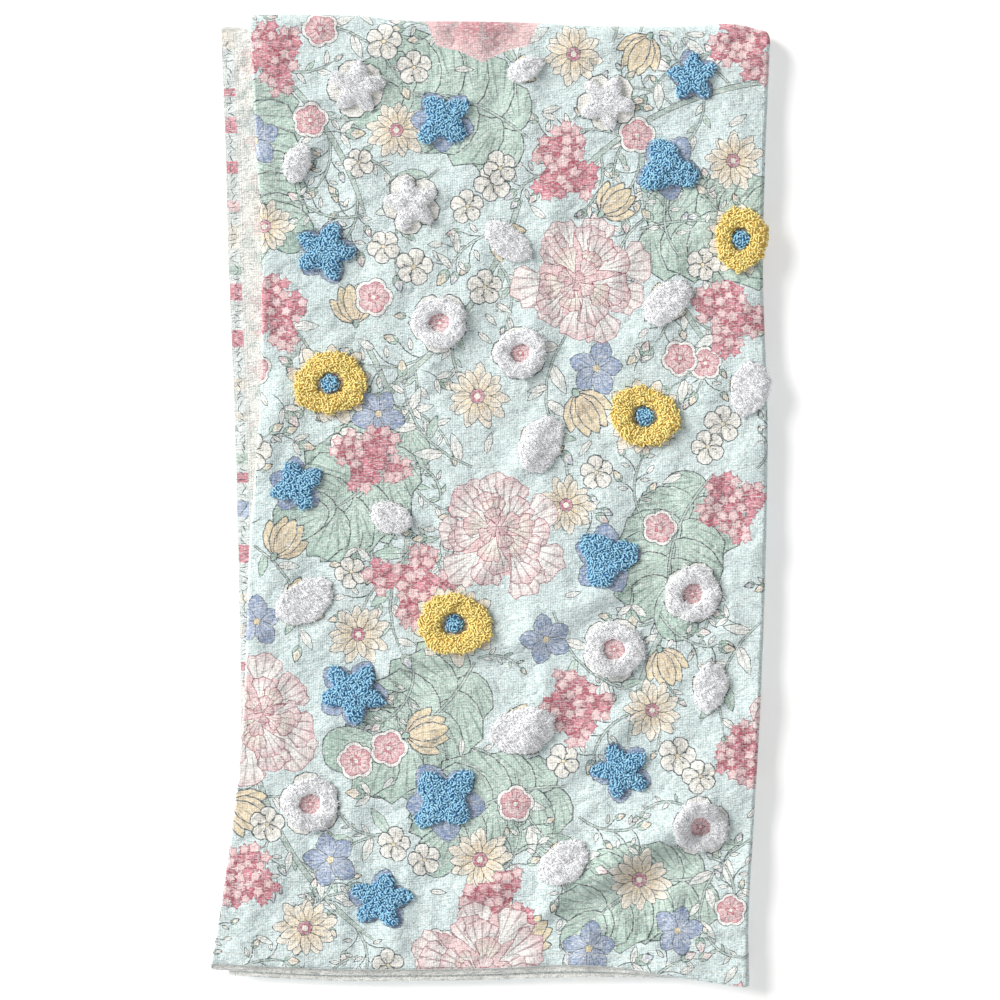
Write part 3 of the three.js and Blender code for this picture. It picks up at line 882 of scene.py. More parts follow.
def fillers(motifs, rng):
    """Small motifs at random places that are still free in one repeat of the print."""
    taken = [room for motif in motifs for room in rooms(*motif)]
    taken += [(complex(tuft.x, tuft.y), 0.54 * tuft.long) for tuft in TUFTS]
    places = np.array([place for place, _ in taken])
    radii = np.array([radius for _, radius in taken])
    found = []
    for filler in FILLERS:
        for _ in range(filler["tries"]):
            place = complex(rng.uniform(-215, 225), rng.uniform(-385, 386))
            turn = rng.uniform(0, 360)
            size = filler["size"] * rng.uniform(0.85, 1.15)
            middle = place
            if filler["kind"] in ("twig", "spray", "leaf"):
                middle = place + 0.5 * size * heading(turn)
            gap = middle - places
            across = (gap.real + REPEAT[0] / 2) % REPEAT[0] - REPEAT[0] / 2
            along = (gap.imag + REPEAT[1] / 2) % REPEAT[1] - REPEAT[1] / 2
            if np.all(np.hypot(across, along) > radii + filler["room"]):
                found.append((filler["kind"], place.real, place.imag, turn, size))
                places = np.append(places, middle)
                radii = np.append(radii, filler["room"])
    return found


def printed_flowers(inks):
    """The whole print: a repeat that runs on over the folds, plainer on the underside."""
    draw = Print(inks)
    motifs = placed(draw.rng)
    motifs += fillers(motifs, draw.rng)
    layers = [[motif for motif in motifs if motif[0] == kind] for kind in SHAPES]
    below = []
    for tuft in TUFTS:
        for kind, share in UNDER_TUFTS[tuft.form, tuft.yarn]:
            place = complex(tuft.x, tuft.y)
            turn = tuft.turn
            if kind == "lily":
                place -= 0.3 * tuft.long * heading(turn)
            below.append((kind, place.real, place.imag, turn, share * tuft.long))
    for kind, x, y, turn, size in [motif for layer in layers for motif in layer] + below:
        for column in (-1, 0, 1):
            for row in (-1, 0, 1):
                place = complex(x + column * REPEAT[0], y + row * REPEAT[1])
                reach = size * 1.15
                if place.real + reach <= DRAWN["left"] or place.real - reach >= DRAWN["right"]:
                    continue
                if place.imag + reach < DRAWN["bottom"]:
                    continue
                draw.at(place, turn, size)
                if place.imag < FAR_SIDE:
                    SHAPES[kind](draw)
                else:
                    far_motif(draw, kind)
    return draw


# ---- The sheet's mesh ------------------------------------------------------------------------

STITCH = {"length": 2.5, "gap": 1.0, "wide": 0.5}


def stitches(draw, line, colour, shadow):
    """A row of short stitches along a dense line of spread-out places."""
    run = np.concatenate([[0], np.cumsum(abs(np.diff(line)))])
    pitch = STITCH["length"] + STITCH["gap"]
    for start in np.arange(0.5, run[-1] - pitch, pitch):
        ends = np.array([start, start + STITCH["length"]])
        first, last = np.interp(ends, run, line.real) + 1j * np.interp(ends, run, line.imag)
        for wide, ink in ((STITCH["wide"] * 2.0, shadow), (STITCH["wide"], colour)):
            aside = 0.5j * wide * (last - first) / abs(last - first)
            draw.lay(np.array([first - aside, last - aside, last + aside, first + aside]), ink)


SLACK = 0.18
OUTSIDE = -1
UNKNOWN = -2


def anticlockwise(flat, triangles):
    """Triangles that all run the same way round."""
    one, two, three = flat[triangles].T
    turned = ((two - one).conjugate() * (three - one)).imag < 0
    triangles[turned] = triangles[turned][:, ::-1]
    return triangles


def vectors(places):
    return [Vector((place.real, place.imag)) for place in places]


def edges_of(triangles, count):
    """Every triangle's edges as they run, the triangle of each and a number that both ways share."""
    edges = np.concatenate([triangles[:, [0, 1]], triangles[:, [1, 2]], triangles[:, [2, 0]]])
    return edges, np.tile(np.arange(len(triangles)), 3), edges.min(axis=1) * count + edges.max(axis=1)


def covered(border, outlines, looks):
    """A bordered region cut along outlines laid over each other: points, triangles and the look of each."""
    points = np.concatenate([border, *outlines])
    loops = []
    start = 0
    for outline in [border, *outlines]:
        loops.append(list(range(start, start + len(outline))))
        start += len(outline)
    made = delaunay_2d_cdt(vectors(points), [], loops, 0, 1e-4, True)
    flat = np.array([complex(*point) for point in made[0]])
    boxes = [(o.real.min(), o.real.max(), o.imag.min(), o.imag.max()) for o in [border, *outlines]]
    triangles = []
    top = []
    for face, sources in zip(made[2], made[5]):
        if 0 not in sources:
            continue
        x = (flat[face[0]].real + flat[face[1]].real + flat[face[2]].real) / 3
        y = (flat[face[0]].imag + flat[face[1]].imag + flat[face[2]].imag) / 3
        for source in sorted(sources, reverse=True):
            left, right, low, high = boxes[source]
            if source == 0 or (left < x < right and low < y < high):
                triangles.append(face)
                top.append(source)
                break
    return flat, anticlockwise(flat, np.array(triangles)), looks[np.array(top)]


def shown_edges(flat, triangles, look):
    """The edges where the look changes, with the look on each one's left and on its right."""
    edges, owner, key = edges_of(triangles, len(flat))
    order = np.argsort(key, kind="stable")
    edges, owner, key = edges[order], owner[order], key[order]
    first = np.concatenate([[True], key[1:] != key[:-1]])
    twin = np.concatenate([~first[1:], [False]]) & first
    left = look[owner]
    right = np.where(twin, np.roll(left, -1), OUTSIDE)
    shown = first & (left != right)
    return edges[shown], np.stack([left, right], axis=1)[shown]


def straightened(flat, edges, sides):
    """Leaves out points that lie in the middle of an almost straight run of edges."""
    rng = np.random.default_rng(1)
    fixed = np.zeros(len(flat), bool)
    fixed[edges[sides[:, 1] == OUTSIDE]] = True
    for _ in range(6):
        ends = edges.ravel()
        order = np.argsort(ends, kind="stable")
        starts = np.searchsorted(ends[order], np.arange(len(flat)))
        degree = np.bincount(ends, minlength=len(flat))
        points = np.nonzero((degree == 2) & ~fixed)[0]
        one, two = order[starts[points]], order[starts[points] + 1]
        near, far = ends[one ^ 1], ends[two ^ 1]
        span = flat[far] - flat[near]
        aside = abs((span.conjugate() * (flat[points] - flat[near])).imag) / np.maximum(abs(span), 1e-9)
        wanted = (aside < SLACK) & (near != far) & (abs(span) < 14)
        rank = np.full(len(flat), -1.0)
        rank[points[wanted]] = rng.random(wanted.sum())
        chosen = wanted & (rank[points] > rank[near]) & (rank[points] > rank[far])
        new_key = np.minimum(near, far) * len(flat) + np.maximum(near, far)
        chosen &= ~np.isin(new_key, edges.min(axis=1) * len(flat) + edges.max(axis=1))
        first_of_key = np.zeros(len(points), bool)
        first_of_key[np.nonzero(chosen)[0][np.unique(new_key[chosen], return_index=True)[1]]] = True
        chosen &= first_of_key
        keep = np.ones(len(edges), bool)
        first, second = one[chosen] // 2, two[chosen] // 2
        forward = edges[first, 1] == points[chosen]
        edges[first] = np.stack([
            np.where(forward, near[chosen], far[chosen]), np.where(forward, far[chosen], near[chosen]),
        ], axis=1)
        keep[second] = False
        edges, sides = edges[keep], sides[keep]
    return edges, sides


def looks_between(triangles, count, known, known_look, plain):
    """The look of every triangle: known at some edges, as they run, and the same on across the others."""
    edges, owner, key = edges_of(triangles, count)
    code = edges[:, 0] * count + edges[:, 1]
    place = np.minimum(np.searchsorted(known, code), len(known) - 1)
    bounded = known[place] == code
    look = np.full(len(triangles), UNKNOWN)
    look[owner[bounded]] = known_look[place[bounded]]
    look[look == OUTSIDE] = UNKNOWN
    order = np.argsort(key, kind="stable")
    open_pair = (np.diff(key[order]) == 0) & ~bounded[order][:-1]
    one, two = owner[order[:-1][open_pair]], owner[order[1:][open_pair]]
    waiting = len(look) + 1
    while waiting > (look == UNKNOWN).sum():
        waiting = (look == UNKNOWN).sum()
        for known_one, other in ((one, two), (two, one)):
            take = (look[known_one] != UNKNOWN) & (look[other] == UNKNOWN)
            look[other[take]] = look[known_one[take]]
    look[look == UNKNOWN] = plain
    return look


def cut(border, inside, lines, outlines, looks):
    """Cuts a bordered flat region along what shows of outlines laid over each other.

    Looks numbers the colours of the plain region and of every outline. No triangle reaches across
    one of the lines. Returns the points, the triangles and the look of each.
    """
    flat, triangles, look = covered(border, outlines, looks)
    loop = border_of(triangles)
    edges, sides = straightened(flat, *shown_edges(flat, triangles, look))
    used, slots = np.unique(edges, return_inverse=True)
    edges = slots.reshape(edges.shape)
    loop = np.searchsorted(used, loop).tolist()
    flat = np.concatenate([flat[used], *lines, inside])
    kept = []
    start = len(used)
    for line in lines:
        kept += [(at, at + 1) for at in range(start, start + len(line) - 1)]
        start += len(line)
    made = delaunay_2d_cdt(vectors(flat), edges.tolist() + kept, [loop], 0, 1e-4, True)
    run = flat[edges[:, 1]] - flat[edges[:, 0]]
    flat = np.array([complex(*point) for point in made[0]])
    count = len(flat)
    drawn = [(*edge, sources[0]) for edge, sources in zip(made[1], made[4]) if sources]
    start, end, source = np.array([edge for edge in drawn if edge[2] < len(edges)]).T
    ahead = ((flat[end] - flat[start]) * run[source].conjugate()).real > 0
    known = np.concatenate([start * count + end, end * count + start])
    known_look = np.concatenate([
        np.where(ahead, sides[source, 0], sides[source, 1]),
        np.where(ahead, sides[source, 1], sides[source, 0]),
    ])
    order = np.argsort(known)
    triangles = [face for face, sources in zip(made[2], made[5]) if sources]
    triangles = anticlockwise(flat, np.array(triangles))
    look = looks_between(triangles, count, known[order], known_look[order], looks[0])
    used, slots = np.unique(triangles, return_inverse=True)
    return flat[used], slots.reshape(triangles.shape), look


def border_of(triangles):
    """The points round a cut region in order, anticlockwise."""
    edges, _, key = edges_of(triangles, triangles.max() + 1)
    _, first, times = np.unique(key, return_index=True, return_counts=True)
    follow = dict(edges[first[times == 1]].tolist())
    loop = [min(follow)]
    while follow[loop[-1]] != loop[0]:
        loop.append(follow[loop[-1]])
        if len(loop) > len(follow):
            raise RuntimeError("the region's border isn't one loop")
    return np.array(loop)


def grid(across, along):
    """The spread-out places of every pair of stations."""
    across, along = np.meshgrid(across, along)
    return spread(across.ravel(), along.ravel())


FINE_STEP = 6.8 / PANEL_SIZE[0]
COARSE_STEP = 26 / PANEL_SIZE[0]


def fold_lines(right, left, rows, half, columns):
    """Lines that run along the right, left and half folds, a number of them side by side round each."""
    sides = [*np.linspace(1, 2, right), *np.linspace(-1, 0, left)]
    lines = [spread(np.full(len(rows), across), rows) for across in sides]
    return lines + [spread(columns, np.full(len(columns), along)) for along in np.linspace(1, 2, half)]


def inner_places():
    """Places inside the printed face, close together where it shows, and the lines along its folds."""
    top = np.arange(0.5, 60) * FINE_STEP
    up = np.arange(0.5, 110) / 110
    hidden = np.arange(0.5, 15) * COARSE_STEP
    hem_rows = np.array([3, 7.5, 9.4, 10.6]) / PANEL_SIZE[1]
    hidden_rows = np.concatenate([up[::4], 2 + up[::5]])
    places = np.concatenate([
        grid(top, up),
        grid(top, hem_rows),
        grid(top[::4], 2 + up[1::4]),
        grid(-1 - np.arange(0.5, 30) * COARSE_STEP / 2, up[::7]),
        grid(-1 - hidden, hidden_rows[hidden_rows > 1]),
        grid(2 + hidden, hidden_rows),
        wrinkle_places(),
    ])
    rows = np.concatenate([up, 1 + up[::14], 2 + up[::4]])
    columns = np.concatenate([-1 - hidden[::-1], top, 2 + hidden, [2.995]])
    return places, fold_lines(9, 6, rows, 9, columns)


def wrinkle_places():
    """Places along the sharper wrinkles."""
    sharp = [row for row in WRINKLES if abs(row.rise) > 1.4]
    ahead, aside = np.meshgrid(np.linspace(-1, 1, 10), (-0.9, -0.3, 0.3, 0.9))
    return np.concatenate([
        complex(row.x, row.y)
        + (row.long * ahead + 1j * row.wide * aside).ravel() * heading(row.turn)
        for row in sharp
    ])


def edge_places():
    """The sheet's edge, anticlockwise from the flap's corner."""
    across = np.concatenate([
        np.linspace(-1 - FLAP_REACH, -1, 20), np.linspace(-1, 0, 6)[1:], np.linspace(0, 1, 90)[1:],
        np.linspace(1, 2, 9)[1:], np.linspace(2, 3, 40)[1:],
    ])
    along = np.concatenate([np.linspace(0, 1, 120), np.linspace(1, 2, 14)[1:], np.linspace(2, 3, 40)[1:]])
    low, high = across[0], across[-1]
    return np.concatenate([
        spread(across[:-1], np.zeros(len(across) - 1)),
        spread(np.full(len(along) - 1, high), along[:-1]),
        spread(across[:0:-1], np.full(len(across) - 1, 3.0)),
        spread(np.full(len(along) - 1, low), along[:0:-1]),
    ])


def looks_of(draw, plain):
    """The different fills of a print, the plain one first, and which of them each outline has."""
    rows = np.array([plain_fill(draw.inks[plain], draw.inks[plain])] + draw.fills)
    fills, looks = np.unique(rows, axis=0, return_inverse=True)
    return fills, looks.ravel()


def mesh_object(name, points, faces):
    mesh = bpy.data.meshes.new(name)
    mesh.from_pydata(points.tolist(), [], faces)
    piece = bpy.data.objects.new(name, mesh)
    bpy.context.scene.collection.objects.link(piece)
    return piece


def store_colour(mesh, name, domain, values):
    """Stores a colour with its fourth part for every corner or point."""
    attribute = mesh.color_attributes.new(name, "FLOAT_COLOR", domain)
    attribute.data.foreach_set("color", np.ascontiguousarray(values, np.float32).ravel())


def store_print(mesh, flat, fill):
    """Stores the fill of every corner, where the corner lies in it and its spread-out place."""
    corner_points = np.empty(len(mesh.loops), int)
    mesh.loops.foreach_get("vertex_index", corner_points)
    places = flat[corner_points]
    within = (places - fill[:, 7] - 1j * fill[:, 8]) / (fill[:, 9] + 1j * fill[:, 10])
    plain = (fill[:, 9] == 1) & (fill[:, 10] == 0)
    within = np.where(plain, 0.8, within)
    store_colour(mesh, "rim", "CORNER", fill[:, 0:4])
    store_colour(mesh, "core", "CORNER", fill[:, [4, 5, 6, 6]])
    store_colour(mesh, "within", "CORNER", np.stack([within.real, within.imag] * 2, axis=1))
    spread_map = mesh.uv_layers.new(name="spread")
    spread_map.uv.foreach_set("vector", np.stack([places.real, places.imag], axis=1).ravel() * MM)


def hem_line(across, distance):
    """Places at a distance in from the upper half's hem."""
    hem, axis = ends_at(across)
    return spread(across, distance / (axis - hem))


def side_line(along, distance):
    """Places at a distance in from the under panel's side hem."""
    left, right, under = folds_at(along)
    return spread(3 - distance / (right - under), along)


def side_band(along, near, far):
    """The outline of a band along the side edge, between two distances from it."""
    return np.concatenate([side_line(along[::-1], far), side_line(along, near)])


def wrong_side(inks):
    """The sheet's wrong side: the print showing through faintly, and the turned, stitched hems."""
    draw = Print(inks)
    rng = draw.rng
    for _ in range(110):
        edge = side_line(np.array([rng.uniform(0.02, 0.98)]), rng.uniform(14, 28))[0]
        draw.at(edge, rng.uniform(0, 360), rng.uniform(5, 13))
        draw.area(petal(0.8, 0.6, 0.5, 4), "ghost_rose" if rng.random() < 0.4 else "ghost_green")
    along = np.linspace(0.004, 0.996, 200)
    draw.lay(side_band(along, 0.5, 9.8), "hem")
    for share in np.linspace(0.02, 0.97, 26):
        share += rng.uniform(-0.012, 0.012)
        stretch = np.linspace(share, share + rng.uniform(0.006, 0.026), 5)
        patch = side_band(stretch, 0.6, 9.7) + np.outer([1, 1j], rng.uniform(-0.2, 0.2, 10)).sum(axis=0)
        draw.lay(patch, rng.choice(["rose", "blush", "pale_sage", "cream", "rose", "pale_blue"]))
    for share in np.linspace(0.012, 0.985, 170):
        draw.at(side_line(np.array([share]), rng.uniform(3.6, 6.6))[0], rng.uniform(-75, 75), 2.9)
        draw.line(arc(-1 + 0j, 1 + 0j, rng.uniform(-0.25, 0.25), 4), "ink", 0.75)
    draw.lay(side_band(along, 9.8, 11.2), "thread")
    stitches(draw, side_line(along, 12.2), "thread_shadow", "reverse")
    stitches(draw, hem_line(np.linspace(1.02, 2.98, 300), 3.2), "thread_shadow", "thread")
    return draw


def wrong_side_places():
    """Places inside the wrong side, close together in the strips that show, and lines along its folds."""
    hidden = np.arange(0.5, 15) * COARSE_STEP
    rows = np.concatenate([np.arange(0.5, 34) / 34, 2 + np.arange(0.5, 16) / 16])
    fine_rows = np.arange(0.5, 124) / 124
    places = np.concatenate([
        grid(-1 - np.arange(0.5, 30) * COARSE_STEP / 2, rows[::2]),
        grid(np.concatenate([hidden, 2 + hidden]), rows),
        grid(np.arange(0.5, 32) / 32, np.array([6, 14]) / PANEL_SIZE[1]),
        grid(3 - np.array([2, 5, 8.6, 9.6, 10.6, 14, 19, 25, 32]) / PANEL_SIZE[0], fine_rows),
        grid(2 + np.arange(0.5, 60) / 60, np.array([2, 5, 8.6, 9.6, 10.6, 14, 20]) / PANEL_SIZE[1]),
    ])
    columns = np.concatenate([-1 - hidden[::-1], 2 * hidden[:8], 2 + hidden, [2.995]])
    return places, fold_lines(6, 4, rows, 8, columns)


def closed_sheet(name, inks):
    """The folded sheet as one closed mesh: printed face, wrong side and the edge between them."""
    draw = printed_flowers(inks)
    stitches(draw, hem_line(np.linspace(-0.5, 2.9, 400), 8.6), "thread", "thread_shadow")
    face_fills, looks = looks_of(draw, "ground")
    face_flat, face_triangles, face_look = cut(edge_places(), *inner_places(), draw.outlines, looks)
    face_loop = border_of(face_triangles)

    back = wrong_side(inks)
    back_fills, looks = looks_of(back, "reverse")
    back_flat, back_triangles, back_look = cut(
        face_flat[face_loop], *wrong_side_places(), back.outlines, looks)
    back_loop = border_of(back_triangles)
    back_loop = np.roll(back_loop, -np.argmin(abs(back_flat[back_loop] - face_flat[face_loop[0]])))
    if len(back_loop) != len(face_loop):
        raise RuntimeError("the two sides of the sheet have different edges")

    face_points = folded(face_flat, 1.0)
    back_points = folded(back_flat, -1.0)
    face_normals = folded_normals(face_flat, 1.0)
    back_normals = folded_normals(back_flat, -1.0)
    run = np.roll(face_points[face_loop], -1, axis=0) - np.roll(face_points[face_loop], 1, axis=0)
    outward = np.cross(run, face_normals[face_loop])
    outward /= np.linalg.norm(outward, axis=1, keepdims=True)
    rim_points = (face_points[face_loop] + back_points[back_loop]) / 2 + 0.5 * outward
    face_normals[face_loop] += 0.6 * outward
    back_normals[back_loop] += 0.6 * outward

    size = len(face_loop)
    rim = len(face_points) + len(back_points) + np.arange(size)
    lower_loop = len(face_points) + back_loop
    upper = np.stack([face_loop, rim, np.roll(rim, -1), np.roll(face_loop, -1)], axis=1)
    lower = np.stack([rim, lower_loop, np.roll(lower_loop, -1), np.roll(rim, -1)], axis=1)
    back_faces = len(face_points) + back_triangles[:, ::-1]
    points = np.concatenate([face_points, back_points, rim_points]) * MM
    piece = mesh_object(
        name, points, face_triangles.tolist() + back_faces.tolist() + upper.tolist() + lower.tolist())
    store_print(piece.data, np.concatenate([face_flat, back_flat, face_flat[face_loop]]), np.concatenate([
        np.repeat(face_fills[face_look], 3, axis=0),
        np.repeat(back_fills[back_look], 3, axis=0),
        np.tile(plain_fill(inks["ground"], inks["thread"]), (8 * size, 1)),
    ]))
    piece.data.shade_smooth()
    normals = np.concatenate([face_normals, back_normals, outward])
    normals /= np.linalg.norm(normals, axis=1, keepdims=True)
    piece.data.normals_split_custom_set_from_vertices(normals.tolist())
    return piece


# ---- Pile ------------------------------------------------------------------------------------

LOOPED = {"spacing": 2.1, "arch": 1.25, "yarn": 0.6, "body": 0.6}
NAPPED = {"spacing": 1.4, "length": 3.0, "strand": 0.78, "body": 0.6}
LUMPS = {"count": 14, "shortest": 5, "longest": 16, "height": 0.3, "seed": 8}


def star_reach(arms, angle):
    return 0.79 + 0.21 * np.cos(arms * angle)


def tuft_reach(tuft, angle):
    """How far a tuft's uneven outline reaches in its own coordinates."""
    phase = tuft.x * 0.7 + tuft.y
    uneven = 1 + 0.035 * np.sin(3 * angle + phase) + 0.03 * np.sin(7 * angle + 2 * phase)
    uneven = uneven + 0.022 * np.sin(13 * angle + 3 * phase)
    return uneven * (star_reach(tuft.arms, angle) if tuft.form == "star" else 0.98)


def tuft_outline(tuft, local):
    """How far out places lie in a tuft's outline, from 0 at its middle to 1 at its edge."""
    return abs(local) / tuft_reach(tuft, np.angle(local))


def tuft_place(tuft, local):
    """The spread-out place of a tuft's own coordinates, which reach 1 at its ends."""
    turn = heading(tuft.turn)
    reach = (local.real * tuft.long + 1j * local.imag * tuft.broad) / 2
    return complex(tuft.x, tuft.y) + turn * reach


def crown(tuft, out):
    """The share of its height that a tuft's body has at a share of its outline."""
    if tuft.form == "ring":
        out = 2 * (out - RING_HOLE) / (1 - RING_HOLE) - 1
    return np.sqrt(np.clip(1 - abs(out) ** 3.2, 0, 1))


def body_points(tuft, local, body):
    """Points of the tuft's body over its own coordinates."""
    place = tuft_place(tuft, local)
    height = crown(tuft, tuft_outline(tuft, local)) * (body + waves(LUMPS, place.real, place.imag))
    return folded(place, 1.0, SEAT_GAP + height)


def body_frames(tuft, local, body, step=0.012):
    """The body's points with two directions along it and one out of it."""
    points = body_points(tuft, local, body)
    aside = body_points(tuft, local + step, body) - body_points(tuft, local - step, body)
    ahead = body_points(tuft, local + 1j * step, body) - body_points(tuft, local - 1j * step, body)
    out = np.cross(aside, ahead)
    out /= np.linalg.norm(out, axis=1, keepdims=True)
    aside /= np.linalg.norm(aside, axis=1, keepdims=True)
    return points, aside, np.cross(out, aside), out


def pile_roots(tuft, spacing, rng):
    """Unevenly spaced roots all over a tuft, in its own coordinates."""
    across = np.arange(-tuft.long, tuft.long, spacing)
    along = np.arange(-tuft.long, tuft.long, spacing * 0.87)
    x, y = np.meshgrid(across, along)
    x = x + spacing / 2 * (np.arange(len(along)) % 2)[:, None]
    x = x + rng.uniform(-0.3, 0.3, x.shape) * spacing
    y = y + rng.uniform(-0.3, 0.3, y.shape) * spacing
    local = (2 * x / tuft.long + 2j * y / tuft.broad).ravel()
    out = tuft_outline(tuft, local)
    start = RING_HOLE + 0.03 if tuft.form == "ring" else 0
    return local[(out < 0.985) & (out > start)]


def mesh_data(shape):
    """A bmesh's points and faces, always in the same order, and frees it."""
    shape.verts.index_update()
    points = np.array([vert.co for vert in shape.verts])
    faces = []
    for face in shape.faces:
        corners = [vert.index for vert in face.verts]
        first = corners.index(min(corners))
        faces.append(corners[first:] + corners[:first])
    shape.free()
    return points, sorted(faces)


def tuft_body(tuft, steps):
    """The closed body under a tuft's pile: a profile spun full round, then laid into its outline."""
    if tuft.form == "ring":
        outs = mix(RING_HOLE, 1, (1 - np.cos(math.pi * np.linspace(0, 1, 9))) / 2)
        profile = [(out, 1) for out in outs] + [(0.8, 0), (0.55, 0)]
    else:
        outs = np.sin(math.pi / 2 * np.linspace(0.15, 1, 7))
        profile = [(0, 1)] + [(out, 1) for out in outs] + [(0.6, 0), (0, 0)]
    shape = bmesh.new()
    verts = [shape.verts.new((out, 0, side)) for out, side in profile]
    edges = [shape.edges.new(pair) for pair in zip(verts, verts[1:])]
    if tuft.form == "ring":
        edges.append(shape.edges.new((verts[-1], verts[0])))
    bmesh.ops.spin(
        shape, geom=verts + edges, cent=(0, 0, 0), axis=(0, 0, 1), angle=TAU, steps=steps, use_merge=True
    )
    bmesh.ops.remove_doubles(shape, verts=shape.verts, dist=1e-5)
    bmesh.ops.recalc_face_normals(shape, faces=shape.faces)
    return mesh_data(shape)


def arch_shape(arch, yarn, sides=4, steps=5):
    """A short bent piece of yarn that stands on its two ends: a ring of points spun part of the way round."""
    shape = bmesh.new()
    bmesh.ops.create_circle(shape, cap_ends=True, segments=sides, radius=yarn)
    bmesh.ops.rotate(shape, verts=shape.verts, matrix=Matrix.Rotation(math.radians(-24), 3, "Y"))
    bmesh.ops.translate(shape, verts=shape.verts, vec=(arch * math.cos(0.42), 0, -arch * math.sin(0.42)))
    bmesh.ops.spin(
        shape, geom=shape.verts[:] + shape.edges[:] + shape.faces[:], cent=(0, 0, 0), axis=(0, -1, 0),
        angle=math.pi + 0.84, steps=steps,
    )
    bmesh.ops.recalc_face_normals(shape, faces=shape.faces)
    return mesh_data(shape)


def strand_shape(thick, sides=3, parts=2):
    """A thin strand, 1 long, that narrows towards its tip: a small face drawn out in steps."""
    shape = bmesh.new()
    made = bmesh.ops.create_circle(shape, cap_ends=True, segments=sides, radius=thick / 2)
    tip = shape.faces[:]
    for part in range(parts):
        drawn = bmesh.ops.extrude_face_region(shape, geom=tip)["geom"]
        bmesh.ops.delete(shape, geom=tip if part else [], context="FACES_ONLY")
        tip = [face for face in drawn if isinstance(face, bmesh.types.BMFace)]
        verts = tip[0].verts[:]
        bmesh.ops.translate(shape, verts=verts, vec=(0.1 * (part + 1), 0, 1 / parts))
        middle = sum((vert.co for vert in verts), Vector()) / len(verts)
        bmesh.ops.scale(shape, verts=verts, vec=(0.6, 0.6, 1), space=Matrix.Translation(-middle))
    bmesh.ops.recalc_face_normals(shape, faces=shape.faces)
    return mesh_data(shape)


def many(template, points, aside, ahead, out, sizes):
    """Copies of a small shape, each in its own directions and size."""
    shape, faces = template
    placed = (
        shape[None, :, 0, None] * aside[:, None] + shape[None, :, 1, None] * ahead[:, None]
        + shape[None, :, 2, None] * out[:, None]
    )
    placed = points[:, None] + placed * sizes[:, None, None]
    starts = np.arange(len(points)) * len(shape)
    copied = [[start + corner for corner in face] for start in starts.tolist() for face in faces]
    return placed.reshape(-1, 3), copied


def leaning(aside, ahead, out, spin, lean):
    """Directions turned about the outward one, then leaned over towards the first."""
    turned = aside * np.cos(spin)[:, None] + ahead * np.sin(spin)[:, None]
    crossed = np.cross(out, turned)
    up = out * np.cos(lean)[:, None] + turned * np.sin(lean)[:, None]
    return np.cross(crossed, up), crossed, up


def pile_piece(name, tuft, height, rng):
    """A tuft with its body and all its loops or strands."""
    napped = tuft.yarn == "white"
    kind = NAPPED if napped else LOOPED
    body = height * kind["body"]
    base, base_faces = tuft_body(tuft, 4 * max(10, 3 * tuft.arms))
    radius = np.hypot(base[:, 0], base[:, 1])
    angle = np.arctan2(base[:, 1], base[:, 0])
    local = radius * tuft_reach(tuft, angle) * 0.97 * np.exp(1j * angle)
    base_points = np.where(
        base[:, 2:] > 0.5, body_points(tuft, local, body), folded(tuft_place(tuft, local), 1.0, SEAT_GAP))

    roots = pile_roots(tuft, kind["spacing"], rng)
    points, aside, ahead, out = body_frames(tuft, roots, body)
    count = len(roots)
    if napped:
        template = strand_shape(kind["strand"] / kind["length"])
        sizes = kind["length"] * rng.uniform(0.7, 1.15, count)
        lean = rng.uniform(0.25, 1.05, count)
        points = points - out * 0.3
    else:
        template = arch_shape(kind["arch"], kind["yarn"])
        sizes = rng.uniform(0.8, 1.25, count)
        lean = rng.uniform(-0.8, 0.8, count)
    aside, ahead, up = leaning(aside, ahead, out, rng.uniform(0, TAU, count), lean)
    pile_points, pile_faces = many(template, points, aside, ahead, up, sizes)

    shades = np.repeat(rng.uniform(0.35, 1, count), len(template[0]))
    depth = np.tile(between(template[0][:, 2], template[0][:, 2].min(), template[0][:, 2].max()), count)
    all_points = np.concatenate([base_points, pile_points]) * MM
    faces = base_faces + [[corner + len(base_points) for corner in face] for face in pile_faces]
    piece = mesh_object(name, all_points, faces)
    mesh = piece.data
    mesh.shade_smooth()
    # Depth is 0 at each strand's root, where it paints shade; the body gets a low depth, so it is painted in
    # the pile's shade colour.
    colours = np.concatenate([
        np.tile([0.5, 0.2, 0.0], (len(base_points), 1)), np.stack([shades, depth, 0 * depth], axis=1),
    ])
    store_colour(mesh, "pile", "POINT", np.concatenate([colours, np.ones((len(colours), 1))], axis=1))
    return piece


def named_tufts():
    """Every tuft with its name, the centres of the yellow rings among them."""
    counts = {}
    found = []
    for tuft in TUFTS:
        parts = [tuft]
        if tuft.yarn == "yellow":
            parts.append(tuft._replace(form="centre", yarn="blue", long=CENTRE_SIZE, broad=CENTRE_SIZE))
        for part in parts:
            kind = f"{part.yarn}_{part.form}"
            counts[kind] = counts.get(kind, 0) + 1
            found.append((f"{kind}_{counts[kind]}", part))
    return found


# ---- Finishes --------------------------------------------------------------------------------


class Value:
    """A number in a material's nodes. Sums and products of values add the Math nodes they need."""

    def __init__(self, finish, socket):
        self.finish = finish
        self.socket = socket

    def math(self, operation, *others):
        return self.finish.math(operation, self, *others)

    def __add__(self, other):
        return self.math("ADD", other)

    def __sub__(self, other):
        return self.math("SUBTRACT", other)

    def __rsub__(self, other):
        return self.finish.math("SUBTRACT", other, self)

    def __mul__(self, other):
        return self.math("MULTIPLY", other)

    __radd__ = __add__
    __rmul__ = __mul__

    def wave(self):
        return self.math("SINE")

    def ramp(self, start, end):
        """0 below start, 1 above end and smooth between them."""
        node = self.finish.node(
            "ShaderNodeMapRange", {"interpolation_type": "SMOOTHSTEP"},
            {"Value": self, "From Min": start, "From Max": end},
        )
        return Value(self.finish, node.outputs["Result"])


